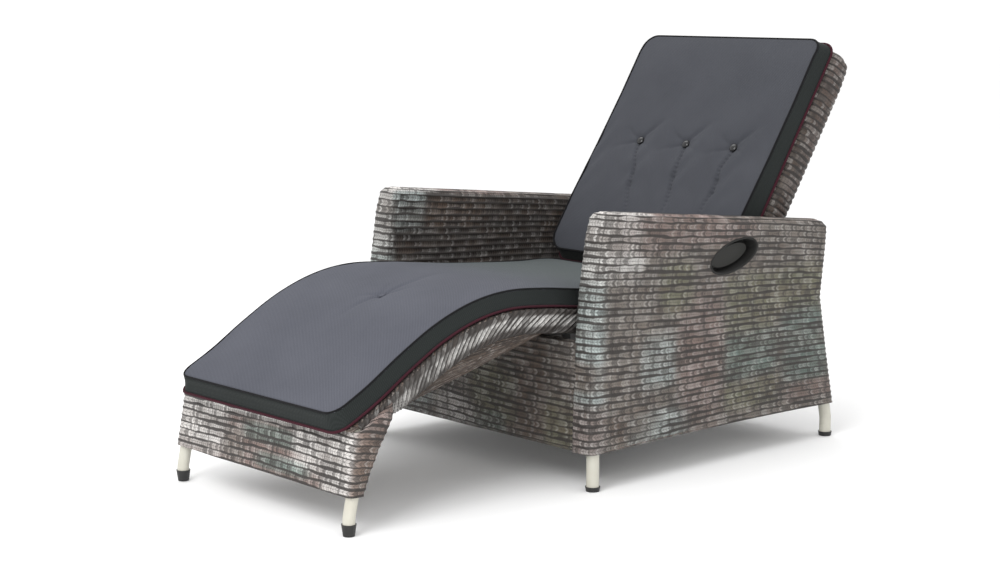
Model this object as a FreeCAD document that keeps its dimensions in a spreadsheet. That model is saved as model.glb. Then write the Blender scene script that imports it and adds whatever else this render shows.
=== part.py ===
"""Reclining sun lounger of woven arms and frame tubes, built as separate pieces.

Row frame, in millimetres: +Z is up, the foot end is at -Y, the back at +Y and the arm
with the release handle at +X. The origin is on the floor under the middle of the lounger.
"""
import FreeCAD, Part
import math
import os

import Sketcher
from FreeCAD import Placement, Rotation, Vector

SIZES = [
    ("arm_inner", 324, "inner face of each arm, from the middle plane"),
    ("arm_outer", 392, "outer face of each arm"),
    ("weave_wall", 4.5, "thickness of a woven wall"),
    ("arm_front_top", 600, "height of the arm's front top corner"),
    ("arm_rear_top", 530, "height of the arm's rear top corner"),
    ("arm_base", 82, "height of the weave's lower edge"),
    ("front_leg", -162, "y of the front legs"),
    ("rear_leg", 632, "y of the rear legs at the floor"),
    ("leg_radius", 14, "outer tube of an arm frame"),
    ("loop_radius", 10, "inner loop of an arm frame"),
    ("outer_loop", 373, "x of the outer loop's centre"),
    ("inner_loop", 341, "x of the inner loop's centre"),
    ("tube_wall", 1.5, "wall of every frame tube"),
    ("rail_half", 283, "x of the deck's side rails"),
    ("rail_radius", 12.5, "deck and back tubes"),
    ("deck_weave_thick", 4.5, "woven sheet of the deck"),
    ("rim_outer", 303, "outer face of the deck's rim"),
    ("rim_drop", 52, "depth of the deck's rim"),
    ("seat_half", 288, "half width of the seat cushion"),
    ("seat_thick", 45, "thickness of the seat cushion"),
    ("hinge_y", 403, "y of the recline axis"),
    ("hinge_z", 350, "height of the recline axis"),
    ("back_lean", 33.5, "lean of the back from upright at rest"),
    ("back_half", 308, "half width of the woven back"),
    ("back_top", 668, "length of the woven back from the recline axis"),
    ("back_front", 45, "front face of the woven back"),
    ("back_rear", 35, "rear face of the woven back, behind the axis"),
    ("cushion_half", 300, "half width of the back cushion"),
    ("pin_radius", 6, "recline pins"),
    ("bolt_radius", 4, "frame bolts"),
    ("spring_drop", 95, "gas spring's axis below the recline axis"),
    ("spring_radius", 14, "gas spring cylinder"),
    ("spring_front", 143, "front end of the gas spring cylinder"),
    ("spring_rear", 333, "rear end of the gas spring cylinder"),
    ("rod_radius", 5, "gas spring rod and lever pin"),
    ("lever_swing", 23.25, "lever's angle from vertical at either end of its travel"),
    ("cup_y", 266, "centre of the handle cup"),
    ("cup_z", 474, "centre of the handle cup"),
    ("cup_long", 80, "half length of the handle opening"),
    ("cup_short", 33, "half height of the handle opening"),
    ("cup_tilt", 14, "slope of the handle cup, rear end up"),
    ("cup_deep", 38, "depth of the handle cup"),
    ("apron_thick", 30, "front and rear aprons"),
    ("cap_height", 10, "visible height of the body's foot caps"),
    ("footrest_half", 316, "half width of the footrest weave"),
    ("footrest_leg", 297, "x of the footrest legs"),
    ("footrest_radius", 13, "footrest leg tube"),
]
# Stations of the deck's upper side, from the foot end to the rear of the seat: y, height.
DECK_STATIONS = [
    (-790, 194), (-682, 250), (-592, 306), (-502, 355), (-412, 387), (-322, 400),
    (-222, 395), (-102, 381), (38, 368), (178, 358), (338, 354),
]
BOLT_HEIGHTS = (120, 290)
DECK_BOLT_STATIONS = (-102, 290)
X_AXIS = Vector(1, 0, 0)
TURN_TO_X = Rotation(Vector(0, 1, 0), 90)
TURN_TO_Y = Rotation(Vector(1, 0, 0), -90)

doc = FreeCAD.newDocument("SunLounger")
sheet = doc.addObject("Spreadsheet::Sheet", "Sizes")
for row, (alias, amount, note) in enumerate(SIZES, start=1):
    sheet.set("A%d" % row, note)
    sheet.set("B%d" % row, str(amount))
    sheet.setAlias("B%d" % row, alias)
doc.recompute()
pieces = []


# ---------------------------------------------------------------- helpers
def full(text):
    """An expression with each $alias written out as the sheet's cell."""
    return str(text).replace("$", "Sizes.")


def size(text):
    """The number an expression or an alias comes to."""
    if isinstance(text, (int, float)):
        return float(text)
    value = sheet.evalExpression(full(text))
    return float(getattr(value, "Value", value))


def bind(thing, path, text):
    """Tie one property of an object to the sheet."""
    thing.setExpression(path, full(text))


def keep(thing, label):
    """Name a finished piece, so that it is checked and exported."""
    thing.Label = label
    pieces.append(thing)
    return thing


def set_place(thing, base, turn=None):
    """Put an object at a base of three expressions, with a fixed turn."""
    thing.Placement = Placement(Vector(*[size(b) for b in base]), turn or Rotation())
    for axis, text in zip("xyz", base):
        bind(thing, "Placement.Base." + axis, text)


def feature(label, shape, place=None):
    """A piece whose shape is made by Part's own functions."""
    thing = doc.addObject("Part::Feature", label)
    thing.Shape = shape
    if place is not None:
        thing.Placement = place
    return keep(thing, label)


def origin_plane(body, role):
    """One of a body's own origin planes."""
    return [item for item in body.Origin.OriginFeatures if item.Role == role][0]


def start_sketch(body, name, role, lift):
    """A sketch on an origin plane of the body, lifted along the plane's normal."""
    sketch = body.newObject("Sketcher::SketchObject", name)
    sketch.AttachmentSupport = [(origin_plane(body, role), "")]
    sketch.MapMode = "FlatFace"
    bind(sketch, "AttachmentOffset.Base.z", lift)
    return sketch


def tie(sketch, constraint, name, text):
    """Add a named constraint and tie its value to the sheet."""
    index = sketch.addConstraint(constraint)
    sketch.renameConstraint(index, name)
    bind(sketch, "Constraints." + name, text)


def polygon(sketch, points):
    """A closed outline whose corners are each tied to two expressions."""
    corners = [Vector(size(a), size(b), 0) for a, b in points]
    count = len(corners)
    for index in range(count):
        line = Part.LineSegment(corners[index], corners[(index + 1) % count])
        sketch.addGeometry(line, False)
    for index in range(count):
        sketch.addConstraint(Sketcher.Constraint("Coincident", index, 2, (index + 1) % count, 1))
    for index, (a, b) in enumerate(points):
        across = Sketcher.Constraint("DistanceX", -1, 1, index, 1, corners[index].x)
        upward = Sketcher.Constraint("DistanceY", -1, 1, index, 1, corners[index].y)
        tie(sketch, across, "across%d" % index, a)
        tie(sketch, upward, "upward%d" % index, b)


def ellipse(sketch, half_long, half_short):
    """An ellipse about the sketch's origin, its long axis along the sketch's x."""
    long_size = size(half_long)
    short_size = size(half_short)
    curve = Part.Ellipse(Vector(long_size, 0, 0), Vector(0, short_size, 0), Vector(0, 0, 0))
    sketch.addGeometry(curve, False)
    sketch.exposeInternalGeometry(0)
    sketch.addConstraint(Sketcher.Constraint("Coincident", 0, 3, -1, 1))
    sketch.addConstraint(Sketcher.Constraint("Horizontal", 1))
    tie(sketch, Sketcher.Constraint("Distance", 1, 2 * long_size), "long", "2 * (%s)" % half_long)
    tie(sketch, Sketcher.Constraint("Distance", 2, 2 * short_size), "short", "2 * (%s)" % half_short)


def extrude(body, kind, name, sketch, length):
    """A Pad or a Pocket of a sketch, along or against the plane's normal."""
    step = body.newObject("PartDesign::" + kind, name)
    step.Profile = sketch
    bind(step, "Length", length)
    if kind == "Pocket":
        step.Reversed = True
    doc.recompute()
    return step


def pad(body, name, role, points, start, length):
    """A polygon padded from start over length."""
    sketch = start_sketch(body, name + "_sketch", role, start)
    polygon(sketch, points)
    return extrude(body, "Pad", name, sketch, length)


def pocket(body, name, role, points, start, length):
    """A polygon cut away from start over length, which has to remove material."""
    before = body.Shape.Volume
    sketch = start_sketch(body, name + "_sketch", role, start)
    polygon(sketch, points)
    step = extrude(body, "Pocket", name, sketch, length)
    if body.Shape.Volume > before - 1:
        raise RuntimeError(body.Label + " " + name + " removes nothing")
    return step


def round_edges(body, last, radius, chosen):
    """A fillet on the edges of the last feature for which chosen(edge) holds."""
    names = []
    for index, edge in enumerate(last.Shape.Edges, start=1):
        if chosen(edge):
            names.append("Edge%d" % index)
    step = body.newObject("PartDesign::Fillet", "Rounding")
    step.Base = (last, names)
    step.Radius = radius
    doc.recompute()
    return step


def holes(body, name, role, centres, radius, start, length):
    """Round holes cut away from start over length."""
    sketch = start_sketch(body, name + "_sketch", role, start)
    for index, (a, b) in enumerate(centres):
        circle = Part.Circle(Vector(size(a), size(b), 0), Vector(0, 0, 1), size(radius))
        sketch.addGeometry(circle, False)
        tie(sketch, Sketcher.Constraint("DistanceX", -1, 1, index, 3, size(a)), "across%d" % index, a)
        tie(sketch, Sketcher.Constraint("DistanceY", -1, 1, index, 3, size(b)), "upward%d" % index, b)
        tie(sketch, Sketcher.Constraint("Radius", index, size(radius)), "radius%d" % index, radius)
    return extrude(body, "Pocket", name, sketch, length)


def cylinder(name, radius, length, base, turn=None):
    """A Part cylinder, upright unless turned."""
    thing = doc.addObject("Part::Cylinder", name)
    bind(thing, "Radius", radius)
    bind(thing, "Height", length)
    set_place(thing, base, turn)
    return thing


def box(name, lengths, base):
    """A Part box from its lowest corner."""
    thing = doc.addObject("Part::Box", name)
    for path, text in zip(("Length", "Width", "Height"), lengths):
        bind(thing, path, text)
    set_place(thing, base)
    return thing


def fuse(name, things):
    """All of the things as one solid."""
    thing = doc.addObject("Part::MultiFuse", name)
    thing.Shapes = things
    return thing


def cut(name, base, tool):
    """The base without the tool."""
    thing = doc.addObject("Part::Cut", name)
    thing.Base = base
    thing.Tool = tool
    return thing


def group(label, things):
    """Identical fasteners kept together as one piece of several solids."""
    thing = doc.addObject("Part::Compound", label)
    thing.Links = things
    return keep(thing, label)


def bent_path(corners, bend):
    """A wire through the corners with an arc of radius bend at each inner one."""
    edges = []
    last = corners[0]
    for before, corner, after in zip(corners, corners[1:], corners[2:]):
        back = (before - corner).normalize()
        ahead = (after - corner).normalize()
        half = back.getAngle(ahead) / 2
        reach = bend / math.tan(half)
        middle = (back + ahead).normalize()
        centre = corner + middle * (bend / math.sin(half))
        first = corner + back * reach
        second = corner + ahead * reach
        edges.append(Part.makeLine(last, first))
        edges.append(Part.Arc(first, centre - middle * bend, second).toShape())
        last = second
    edges.append(Part.makeLine(last, corners[-1]))
    return Part.Wire(edges)


def sweep(path, radius):
    """A round bar along a wire."""
    edge = path.OrderedEdges[0]
    start = edge.valueAt(edge.FirstParameter)
    along = edge.tangentAt(edge.FirstParameter)
    return path.makePipeShell([Part.Wire(Part.makeCircle(radius, start, along))], True, False)


def bar(start, end, radius):
    """A straight round bar between two points."""
    return Part.makeCylinder(radius, (end - start).Length, start, end - start)


def welded(tubes, wall, extras=(), bores=()):
    """Tubes joined into one solid, hollow but for the extras, and then bored."""
    outer = tubes[0][0]
    for solid, _ in tubes[1:]:
        outer = outer.fuse(solid)
    for _, hollow in tubes:
        outer = outer.cut(hollow)
    for extra in extras:
        outer = outer.fuse(extra)
    for bore in bores:
        outer = outer.cut(bore)
    return outer.Solids[0]


def tube_pair(path, radius, wall):
    """A swept tube's outside and its hollow."""
    return sweep(path, radius), sweep(path, radius - wall)


def straight_pair(start, end, radius, wall):
    """A straight tube's outside and its hollow."""
    return bar(start, end, radius), bar(start, end, radius - wall)


def capsule(start, end, half, left, right):
    """A plate with round ends between two points of a side view, from x left to right."""
    along = (end - start).normalize()
    side = X_AXIS.cross(along) * half
    corners = [start + side, end + side, end - side, start - side, start + side]
    outline = [corner + X_AXIS * left for corner in corners]
    plate = Part.Face(Part.makePolygon(outline)).extrude(X_AXIS * (right - left))
    for point in (start, end):
        plate = plate.fuse(Part.makeCylinder(half, right - left, point + X_AXIS * left, X_AXIS))
    return plate


# ---------------------------------------------------------------- deck line
deck_curve = Part.BSplineCurve()
deck_curve.interpolate([Vector(0, y, z) for y, z in DECK_STATIONS])


def deck_point(station, lift, side=0.0):
    """The point over or under the deck line at a station's y, moved along the normal."""
    low = deck_curve.FirstParameter
    high = deck_curve.LastParameter
    for _ in range(40):
        middle = (low + high) / 2
        if deck_curve.value(middle).y < station:
            low = middle
        else:
            high = middle
    along = deck_curve.tangent(low)[0]
    return deck_curve.value(low) + X_AXIS.cross(along) * lift + X_AXIS * side


def deck_line(first, last, lift, side=0.0):
    """A smooth curve that follows the deck line at a constant distance."""
    count = 24
    stations = [first + (last - first) * index / count for index in range(count + 1)]
    curve = Part.BSplineCurve()
    curve.interpolate([deck_point(station, lift, side) for station in stations])
    return curve.toShape()


def deck_strip(first, last, low, high, left, right):
    """A band along the deck line between two distances, from x left to right."""
    lower = deck_line(first, last, low, left)
    upper = deck_line(first, last, high, left)
    front = Part.makeLine(lower.valueAt(lower.FirstParameter), upper.valueAt(upper.FirstParameter))
    rear = Part.makeLine(lower.valueAt(lower.LastParameter), upper.valueAt(upper.LastParameter))
    face = Part.Face(Part.Wire(Part.__sortEdges__([lower, rear, upper, front])))
    return face.extrude(X_AXIS * (right - left))


RAIL_DROP = size("$deck_weave_thick + 0.6 + $rail_radius")
HINGE = Vector(0, size("$hinge_y"), size("$hinge_z"))


def deck_bolt(station):
    """Centre of a deck cross tube, where its ends are bolted to the arms."""
    return deck_point(station, -RAIL_DROP)


def rear_upright(height):
    """y of the arm frame's sloping rear upright at a height."""
    return 568 + 49 * (360 - height) / 255


REAR_TILT = math.degrees(math.atan2(49, 255))


# ---------------------------------------------------------------- arms
def side_bolts():
    """Points of a side view at which an arm is bolted to its neighbours."""
    points = [Vector(0, size("$front_leg") - 6, height) for height in BOLT_HEIGHTS]
    points += [Vector(0, rear_upright(height), height) for height in BOLT_HEIGHTS]
    points += [deck_bolt(station) for station in DECK_BOLT_STATIONS]
    return points


def arm_frame(label, side):
    """An outer loop that ends in two legs, an inner loop, a strut, spacers and bosses."""
    leg_radius = size("$leg_radius")
    loop_radius = size("$loop_radius")
    wall = size("$tube_wall")
    outer_x = side * size("$outer_loop")
    inner_x = side * size("$inner_loop")
    front = size("$front_leg")
    rear = size("$rear_leg")
    top_front = size("$arm_front_top") - 25
    top_rear = size("$arm_rear_top") - 23
    foot = 3
    outline = [
        (front, foot), (front, 318), (-128, top_front), (585, top_rear), (565, 360), (rear, 45), (rear, foot),
    ]
    outer = bent_path([Vector(outer_x, y, z) for y, z in outline], 55)
    outline = [(front, 105), (front, 318), (-128, top_front), (585, top_rear), (568, 360), (617, 105)]
    inner = bent_path([Vector(inner_x, y, z) for y, z in outline], 55)
    strut_z = size("$hinge_z")
    tubes = [tube_pair(outer, leg_radius, wall), tube_pair(inner, loop_radius, wall)]
    ends = [((front, 105), (617, 105), loop_radius), ((-160, strut_z), (571.5, strut_z), loop_radius - 2)]
    for (start_y, start_z), (end_y, end_z), radius in ends:
        start = Vector(inner_x, start_y, start_z)
        end = Vector(inner_x, end_y, end_z)
        tubes.append(straight_pair(start, end, radius, wall))
    spacers = [(front, 180), (front, 240), (100, top_front - 21.7), (rear_upright(180), 180)]
    extras = []
    for y, z in spacers:
        extras.append(bar(Vector(inner_x + side * 8, y, z), Vector(outer_x - side * 12, y, z), 7))
    bores = []
    boss_start = inner_x - side * loop_radius
    boss_end = inner_x + side * loop_radius
    for point in side_bolts():
        reach = X_AXIS * side
        extras.append(bar(point + reach * abs(boss_start), point + reach * abs(boss_end), loop_radius))
        bores.append(bar(point + reach * 320, point + reach * 360, size("$bolt_radius") + 0.2))
    extras.append(bar(HINGE + X_AXIS * boss_start, HINGE + X_AXIS * boss_end, 16))
    bores.append(bar(HINGE + X_AXIS * side * 320, HINGE + X_AXIS * side * 360, size("$pin_radius + 2")))
    if side > 0:
        strap = Part.makeBox(4, 34, top_front - 40 - strut_z, Vector(345, size("$cup_y") - 17, strut_z + 4))
        extras.append(strap)
        for point in cup_screw_points():
            bores.append(bar(point - X_AXIS * 60, point, 2.2))
    feature(label, welded(tubes, wall, extras, bores))


def cup_place():
    """Placement of the handle cup: its mouth's centre on the arm's outer face."""
    turn = Rotation(X_AXIS, size("$cup_tilt"))
    return Placement(Vector(size("$arm_outer"), size("$cup_y"), size("$cup_z")), turn)


def cup_screw_points():
    """Centres of the two screws that hold the cup, at its mouth's plane."""
    return [cup_place().multVec(Vector(0, 0, up)) for up in (-14, 14)]


def arm_weave(label, side):
    """A hollow woven arm, open below, with holes for bolts, pin and handle."""
    wall = "$weave_wall"
    outline = [
        ("$front_leg - 26", "$arm_base"), ("$front_leg - 24", "173"), ("$front_leg - 21", "300"),
        ("$front_leg - 9", "435"), ("$front_leg + 12", "$arm_front_top - 35"),
        ("$front_leg + 24", "$arm_front_top - 10"), ("$front_leg + 46", "$arm_front_top"),
        ("151", "($arm_front_top + $arm_rear_top) / 2 + 11"), ("$rear_leg - 52", "$arm_rear_top + 1"),
        ("$rear_leg - 32", "$arm_rear_top - 7"), ("$rear_leg - 24", "$arm_rear_top - 28"),
        ("$rear_leg - 43", "357"), ("$rear_leg + 14", "$arm_base"),
        ("300", "$arm_base + 5"), ("40", "$arm_base + 4"),
    ]
    hollow = [
        ("$front_leg - 26 + " + wall, "$arm_base - 5"), ("$front_leg - 24 + " + wall, "173"),
        ("$front_leg - 21 + " + wall, "300"), ("$front_leg - 9 + " + wall, "435 - 1"),
        ("$front_leg + 12 + " + wall, "$arm_front_top - 37"),
        ("$front_leg + 24 + 3", "$arm_front_top - 14"), ("$front_leg + 47", "$arm_front_top - " + wall),
        ("151", "($arm_front_top + $arm_rear_top) / 2 + 11 - " + wall),
        ("$rear_leg - 53", "$arm_rear_top + 1 - " + wall),
        ("$rear_leg - 36", "$arm_rear_top - 11"), ("$rear_leg - 24 - " + wall, "$arm_rear_top - 28"),
        ("$rear_leg - 43 - " + wall, "357"), ("$rear_leg + 14 - " + wall, "$arm_base - 5"),
    ]
    start = "$arm_inner" if side > 0 else "-$arm_outer"
    body = doc.addObject("PartDesign::Body", label)
    last = pad(body, "Arm", "YZ_Plane", outline, start, "$arm_outer - $arm_inner")
    low_x, high_x = sorted((side * size("$arm_inner"), side * size("$arm_outer")))

    def on_a_face(edge):
        limits = edge.BoundBox
        flat = limits.XLength < 0.01 and (abs(limits.XMin - low_x) < 0.01 or abs(limits.XMax - high_x) < 0.01)
        return flat and limits.ZMax > size("$arm_base") + 6

    round_edges(body, last, 9, on_a_face)
    pocket(body, "Hollow", "YZ_Plane", hollow, start + " + " + wall, "$arm_outer - $arm_inner - 2 * " + wall)
    inner_start = "$arm_inner - 1" if side > 0 else "-$arm_inner - $weave_wall - 1"
    bolt_centres = [(point.y, point.z) for point in side_bolts()]
    holes(body, "BoltHoles", "YZ_Plane", bolt_centres, "$bolt_radius + 1", inner_start, "$weave_wall + 2")
    hinge = [("$hinge_y", "$hinge_z")]
    holes(body, "PinHole", "YZ_Plane", hinge, "$pin_radius + 1", inner_start, "$weave_wall + 2")
    if side > 0:
        sketch = start_sketch(body, "Handle_sketch", "YZ_Plane", "$arm_outer - $weave_wall - 1")
        ellipse(sketch, "$cup_long", "$cup_short")
        bind(sketch, "AttachmentOffset.Base.x", "$cup_y")
        bind(sketch, "AttachmentOffset.Base.y", "$cup_z")
        bind(sketch, "AttachmentOffset.Rotation.Angle", "$cup_tilt")
        extrude(body, "Pocket", "HandleOpening", sketch, "$weave_wall + 2")
    keep(body, label)


for side_name, side_sign in (("left", 1), ("right", -1)):
    arm_frame("arm_frame_" + side_name, side_sign)
    arm_weave("arm_weave_" + side_name, side_sign)


# ---------------------------------------------------------------- cross frames and aprons
def cross_frame(label, base_y, tilt, height):
    """Two tubes and two end posts in one plane, which hold an apron between the arms."""
    post = 18
    parts = []
    for side in (1, -1):
        left = "$arm_inner - 0.3 - %g" % post if side > 0 else "-$arm_inner + 0.3"
        parts.append(box(label + "_post", (post, post, height), (left, -post / 2, 0)))
    for level in (9, height - 9):
        across = ("-$arm_inner + 10", 0, level)
        parts.append(cylinder(label + "_tube", post / 2, "2 * $arm_inner - 20", across, TURN_TO_X))
    solid = fuse(label + "_solid", parts)
    bores = []
    for bolt in BOLT_HEIGHTS:
        up = (bolt - 105) / math.cos(math.radians(tilt)) + 9
        start = ("-$arm_inner - 5", 0, up)
        bores.append(cylinder(label + "_bore", "$bolt_radius + 0.1", "2 * $arm_inner + 10", start, TURN_TO_X))
    frame = cut(label, solid, fuse(label + "_bores", bores))
    low = 105 - 9 * math.cos(math.radians(tilt))
    shift = 9 * math.sin(math.radians(tilt))
    set_place(frame, (0, "%s + %g" % (base_y, shift), low), Rotation(X_AXIS, tilt))
    return keep(frame, label)


def apron(label, base_y, tilt, height):
    """A flat woven box between the arms, round a cross frame, open at its ends."""
    body = doc.addObject("PartDesign::Body", label)
    half = "$apron_thick / 2"
    outline = [("-" + half, 0), (half, 0), (half, height), ("-" + half, height)]
    inset = "$apron_thick / 2 - $weave_wall"
    hollow = [
        ("-(%s)" % inset, "$weave_wall"), (inset, "$weave_wall"),
        (inset, "%g - $weave_wall" % height), ("-(%s)" % inset, "%g - $weave_wall" % height),
    ]
    pad(body, "Apron", "YZ_Plane", outline, "-$arm_inner + 0.5", "2 * $arm_inner - 1")
    pocket(body, "Hollow", "YZ_Plane", hollow, "-$arm_inner", "2 * $arm_inner")
    low = 105 - 24 * math.cos(math.radians(tilt))
    shift = 24 * math.sin(math.radians(tilt))
    set_place(body, (0, "%s + %g" % (base_y, shift), low), Rotation(X_AXIS, tilt))
    keep(body, label)


cross_frame("front_cross_frame", "$front_leg - 6", 0, 212)
apron("front_apron_weave", "$front_leg - 6", 0, 242)
cross_frame("rear_cross_frame", rear_upright(105), REAR_TILT, 200)
apron("rear_apron_weave", rear_upright(105), REAR_TILT, 230)


# ---------------------------------------------------------------- deck
def deck_frame():
    """Two curved side rails, cross tubes and the two footrest legs, welded together."""
    radius = size("$rail_radius")
    wall = size("$tube_wall")
    half = size("$rail_half")
    arm_face = size("$arm_inner") - 0.3
    tubes = []
    for side in (1, -1):
        path = Part.Wire(deck_line(-749, 334, -RAIL_DROP, side * half))
        tubes.append(tube_pair(path, radius, wall))
        leg_x = side * size("$footrest_leg")
        leg = bent_path([Vector(leg_x, y, z) for y, z in ((-765, 13), (-765, 34), (-729, 200))], 50)
        tubes.append(tube_pair(leg, size("$footrest_radius"), wall))
    extras = []
    bores = []
    for station in (-740, -580, -330, -102, 150, 235, 290, 322):
        reach = arm_face if station in DECK_BOLT_STATIONS else half
        centre = deck_bolt(station)
        tube_radius = {-740: 8, 290: 10, 322: 10}.get(station, radius)
        tubes.append(straight_pair(centre - X_AXIS * reach, centre + X_AXIS * reach, tube_radius, wall))
        if station in DECK_BOLT_STATIONS:
            for side in (1, -1):
                inner = centre + X_AXIS * side * (reach - 26)
                extras.append(bar(inner, centre + X_AXIS * side * reach, tube_radius - 0.5))
        if station in (150, 235):
            for side in (1, -1):
                low = centre + Vector(side * 12, 0, -20)
                bores.append(bar(low, low + Vector(0, 0, 14), 3.1))
    for station in DECK_BOLT_STATIONS:
        centre = deck_bolt(station)
        for side in (1, -1):
            start = centre + X_AXIS * side * (arm_face - 24)
            bores.append(bar(start, start + X_AXIS * side * 40, size("$bolt_radius") + 0.1))
    feature("deck_frame", welded(tubes, wall, extras, bores))


def deck_rim(label, side):
    """The wrapped edge of the deck: a side strip that turns in under the rail."""
    outer = size("$rim_outer")
    drop = size("$rim_drop")
    face_left, face_right = sorted((side * (outer - 6), side * outer))
    lip_left, lip_right = sorted((side * (outer - 34), side * (outer - 3)))
    face = deck_strip(-652, 335, -drop, -5.3, face_left, face_right)
    lip = deck_strip(-652, 335, -drop, -drop + 5, lip_left, lip_right)
    shape = face.fuse(lip)
    for station in DECK_BOLT_STATIONS:
        centre = deck_bolt(station)
        reach = X_AXIS * side
        shape = shape.cut(bar(centre + reach * 290, centre + reach * 310, size("$rail_radius") + 1))
    feature(label, shape.Solids[0])


deck_frame()
sheet_half = size("$rim_outer - 1")
feature("deck_weave", deck_strip(-777, 337, -4.8, -0.3, -sheet_half, sheet_half))
deck_rim("deck_rim_left", 1)
deck_rim("deck_rim_right", -1)


def footrest_weave():
    """The footrest's woven front and its two side gussets round the legs, open below."""
    half = "$footrest_half"
    top_front = deck_point(-758, -5.6)
    top_middle = deck_point(-706, -5.6)
    top_rear = deck_point(-656, -5.6)
    outline = [
        (-774, 80), (-749, top_front.z - 4), (top_middle.y, top_middle.z), (top_rear.y, top_rear.z),
        (-655, 232), (-693, 183), (-720, 132), (-739, 80),
    ]
    hollow = [
        (-770.4, 75), (-744.6, top_front.z - 9), (-744.6, 300), (-640, 300),
        (-640, 226), (-657, 226), (-696.5, 183), (-724, 132), (-743, 75),
    ]
    middle = [(-732, 60), (-709, 230), (-709, 300), (-600, 300), (-600, 60)]
    front = [(-770.4, 75), (-744.6, top_front.z - 9), (-744.6, 300), (-714, 300), (-714, 220), (-736, 75)]
    body = doc.addObject("PartDesign::Body", "footrest_weave")
    pad(body, "Footrest", "YZ_Plane", outline, "-" + half, "2 * " + half)
    pocket(body, "Between", "YZ_Plane", middle, "-$rail_half + 17.5", "2 * ($rail_half - 17.5)")
    pocket(body, "LeftHollow", "YZ_Plane", hollow, "$rail_half - 13.3", half + " - $rail_half + 9.3")
    pocket(body, "RightHollow", "YZ_Plane", hollow, "-%s + 4" % half, half + " - $rail_half + 9.3")
    pocket(body, "FrontHollow", "YZ_Plane", front, "-%s + 4" % half, "2 * %s - 8" % half)
    keep(body, "footrest_weave")


footrest_weave()


# ---------------------------------------------------------------- foot caps
def foot_caps(label, feet, radius, base_radius, height, hollow):
    """Tapered caps on the ends of the legs, each with a socket for its tube."""
    caps = []
    for index, (x, y) in enumerate(feet):
        cone = doc.addObject("Part::Cone", "%s_cone%d" % (label, index))
        bind(cone, "Radius1", base_radius)
        bind(cone, "Radius2", radius + " + 2.5")
        bind(cone, "Height", height)
        set_place(cone, (x, y, 0))
        socket = cylinder("%s_socket%d" % (label, index), radius + " + 0.2", 40, (x, y, hollow))
        caps.append(cut("%s_cap%d" % (label, index), cone, socket))
    return group(label, caps)


body_feet = [("$outer_loop", "$front_leg"), ("-$outer_loop", "$front_leg"),
             ("$outer_loop", "$rear_leg"), ("-$outer_loop", "$rear_leg")]
foot_caps("body_foot_caps", body_feet, "$leg_radius", "$leg_radius + 0.8", "$cap_height", 2.7)
footrest_feet = [("$footrest_leg", -765), ("-$footrest_leg", -765)]
foot_caps("footrest_foot_caps", footrest_feet, "$footrest_radius", "$footrest_radius - 1", 24, 12.7)


# ---------------------------------------------------------------- seat cushion
def dimpled(shape, point, axis, radius, depth):
    """The shape with a round hollow sunk at a point against an axis."""
    return shape.cut(Part.makeCylinder(radius, depth + 40, point - axis * depth, axis))


def button(point, axis, radius):
    """A button with a bevelled top that stands on a point."""
    disc = Part.makeCylinder(radius, 2.2, point, axis)
    bevel = Part.makeCone(radius, radius * 0.4, 3, point + axis * 2.2, axis)
    return disc.fuse(bevel).removeSplitter()


seat_half = size("$seat_half")
seat_solid = deck_strip(-779.8, 335, 0.3, size("$seat_thick"), -seat_half, seat_half)
seat_spot = deck_point(-439, size("$seat_thick"), 14)
seat_normal = (deck_point(-439, 10) - deck_point(-439, 0)).normalize()
feature("seat_cushion", dimpled(seat_solid, seat_spot, seat_normal, 15, 10))
feature("seat_button", button(seat_spot - seat_normal * 9.7, seat_normal, 10))


# ---------------------------------------------------------------- back
def back_place():
    """Placement of everything on the back: z along it, -y out of its front."""
    return Placement(HINGE, Rotation(X_AXIS, -size("$back_lean")))


def tie_to_back(thing):
    """Put a body that is modelled upright onto the leaning back."""
    thing.Placement = back_place()
    bind(thing, "Placement.Base.y", "$hinge_y")
    bind(thing, "Placement.Base.z", "$hinge_z")
    bind(thing, "Placement.Rotation.Angle", "$back_lean")
    thing.Placement = Placement(HINGE, Rotation(Vector(-1, 0, 0), size("$back_lean")))


def back_weave():
    """The hollow woven back, open below, its top corners cut to a slope."""
    half = "$back_half"
    outline = [
        ("-" + half, 20), (half, 20), (half, "$back_top - 50"), (half + " - 14", "$back_top - 16"),
        (half + " - 48", "$back_top"), ("-%s + 48" % half, "$back_top"),
        ("-%s + 14" % half, "$back_top - 16"), ("-" + half, "$back_top - 50"),
    ]
    wall = "$weave_wall"
    hollow = [
        ("-%s + %s" % (half, wall), 10), ("%s - %s" % (half, wall), 10),
        ("%s - %s" % (half, wall), "$back_top - 51"), (half + " - 17.5", "$back_top - 19.5"),
        (half + " - 49", "$back_top - " + wall), ("-%s + 49" % half, "$back_top - " + wall),
        ("-%s + 17.5" % half, "$back_top - 19.5"), ("-%s + %s" % (half, wall), "$back_top - 51"),
    ]
    body = doc.addObject("PartDesign::Body", "back_weave")
    last = pad(body, "Back", "XZ_Plane", outline, "-$back_rear", "$back_rear + $back_front")

    def on_a_face(edge):
        limits = edge.BoundBox
        return limits.YLength < 0.01 and limits.ZMax > 21

    round_edges(body, last, 9, on_a_face)
    pocket(body, "Hollow", "XZ_Plane", hollow, "-$back_rear + " + wall, "$back_rear + $back_front - 2 * " + wall)
    tie_to_back(body)
    keep(body, "back_weave")


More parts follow.
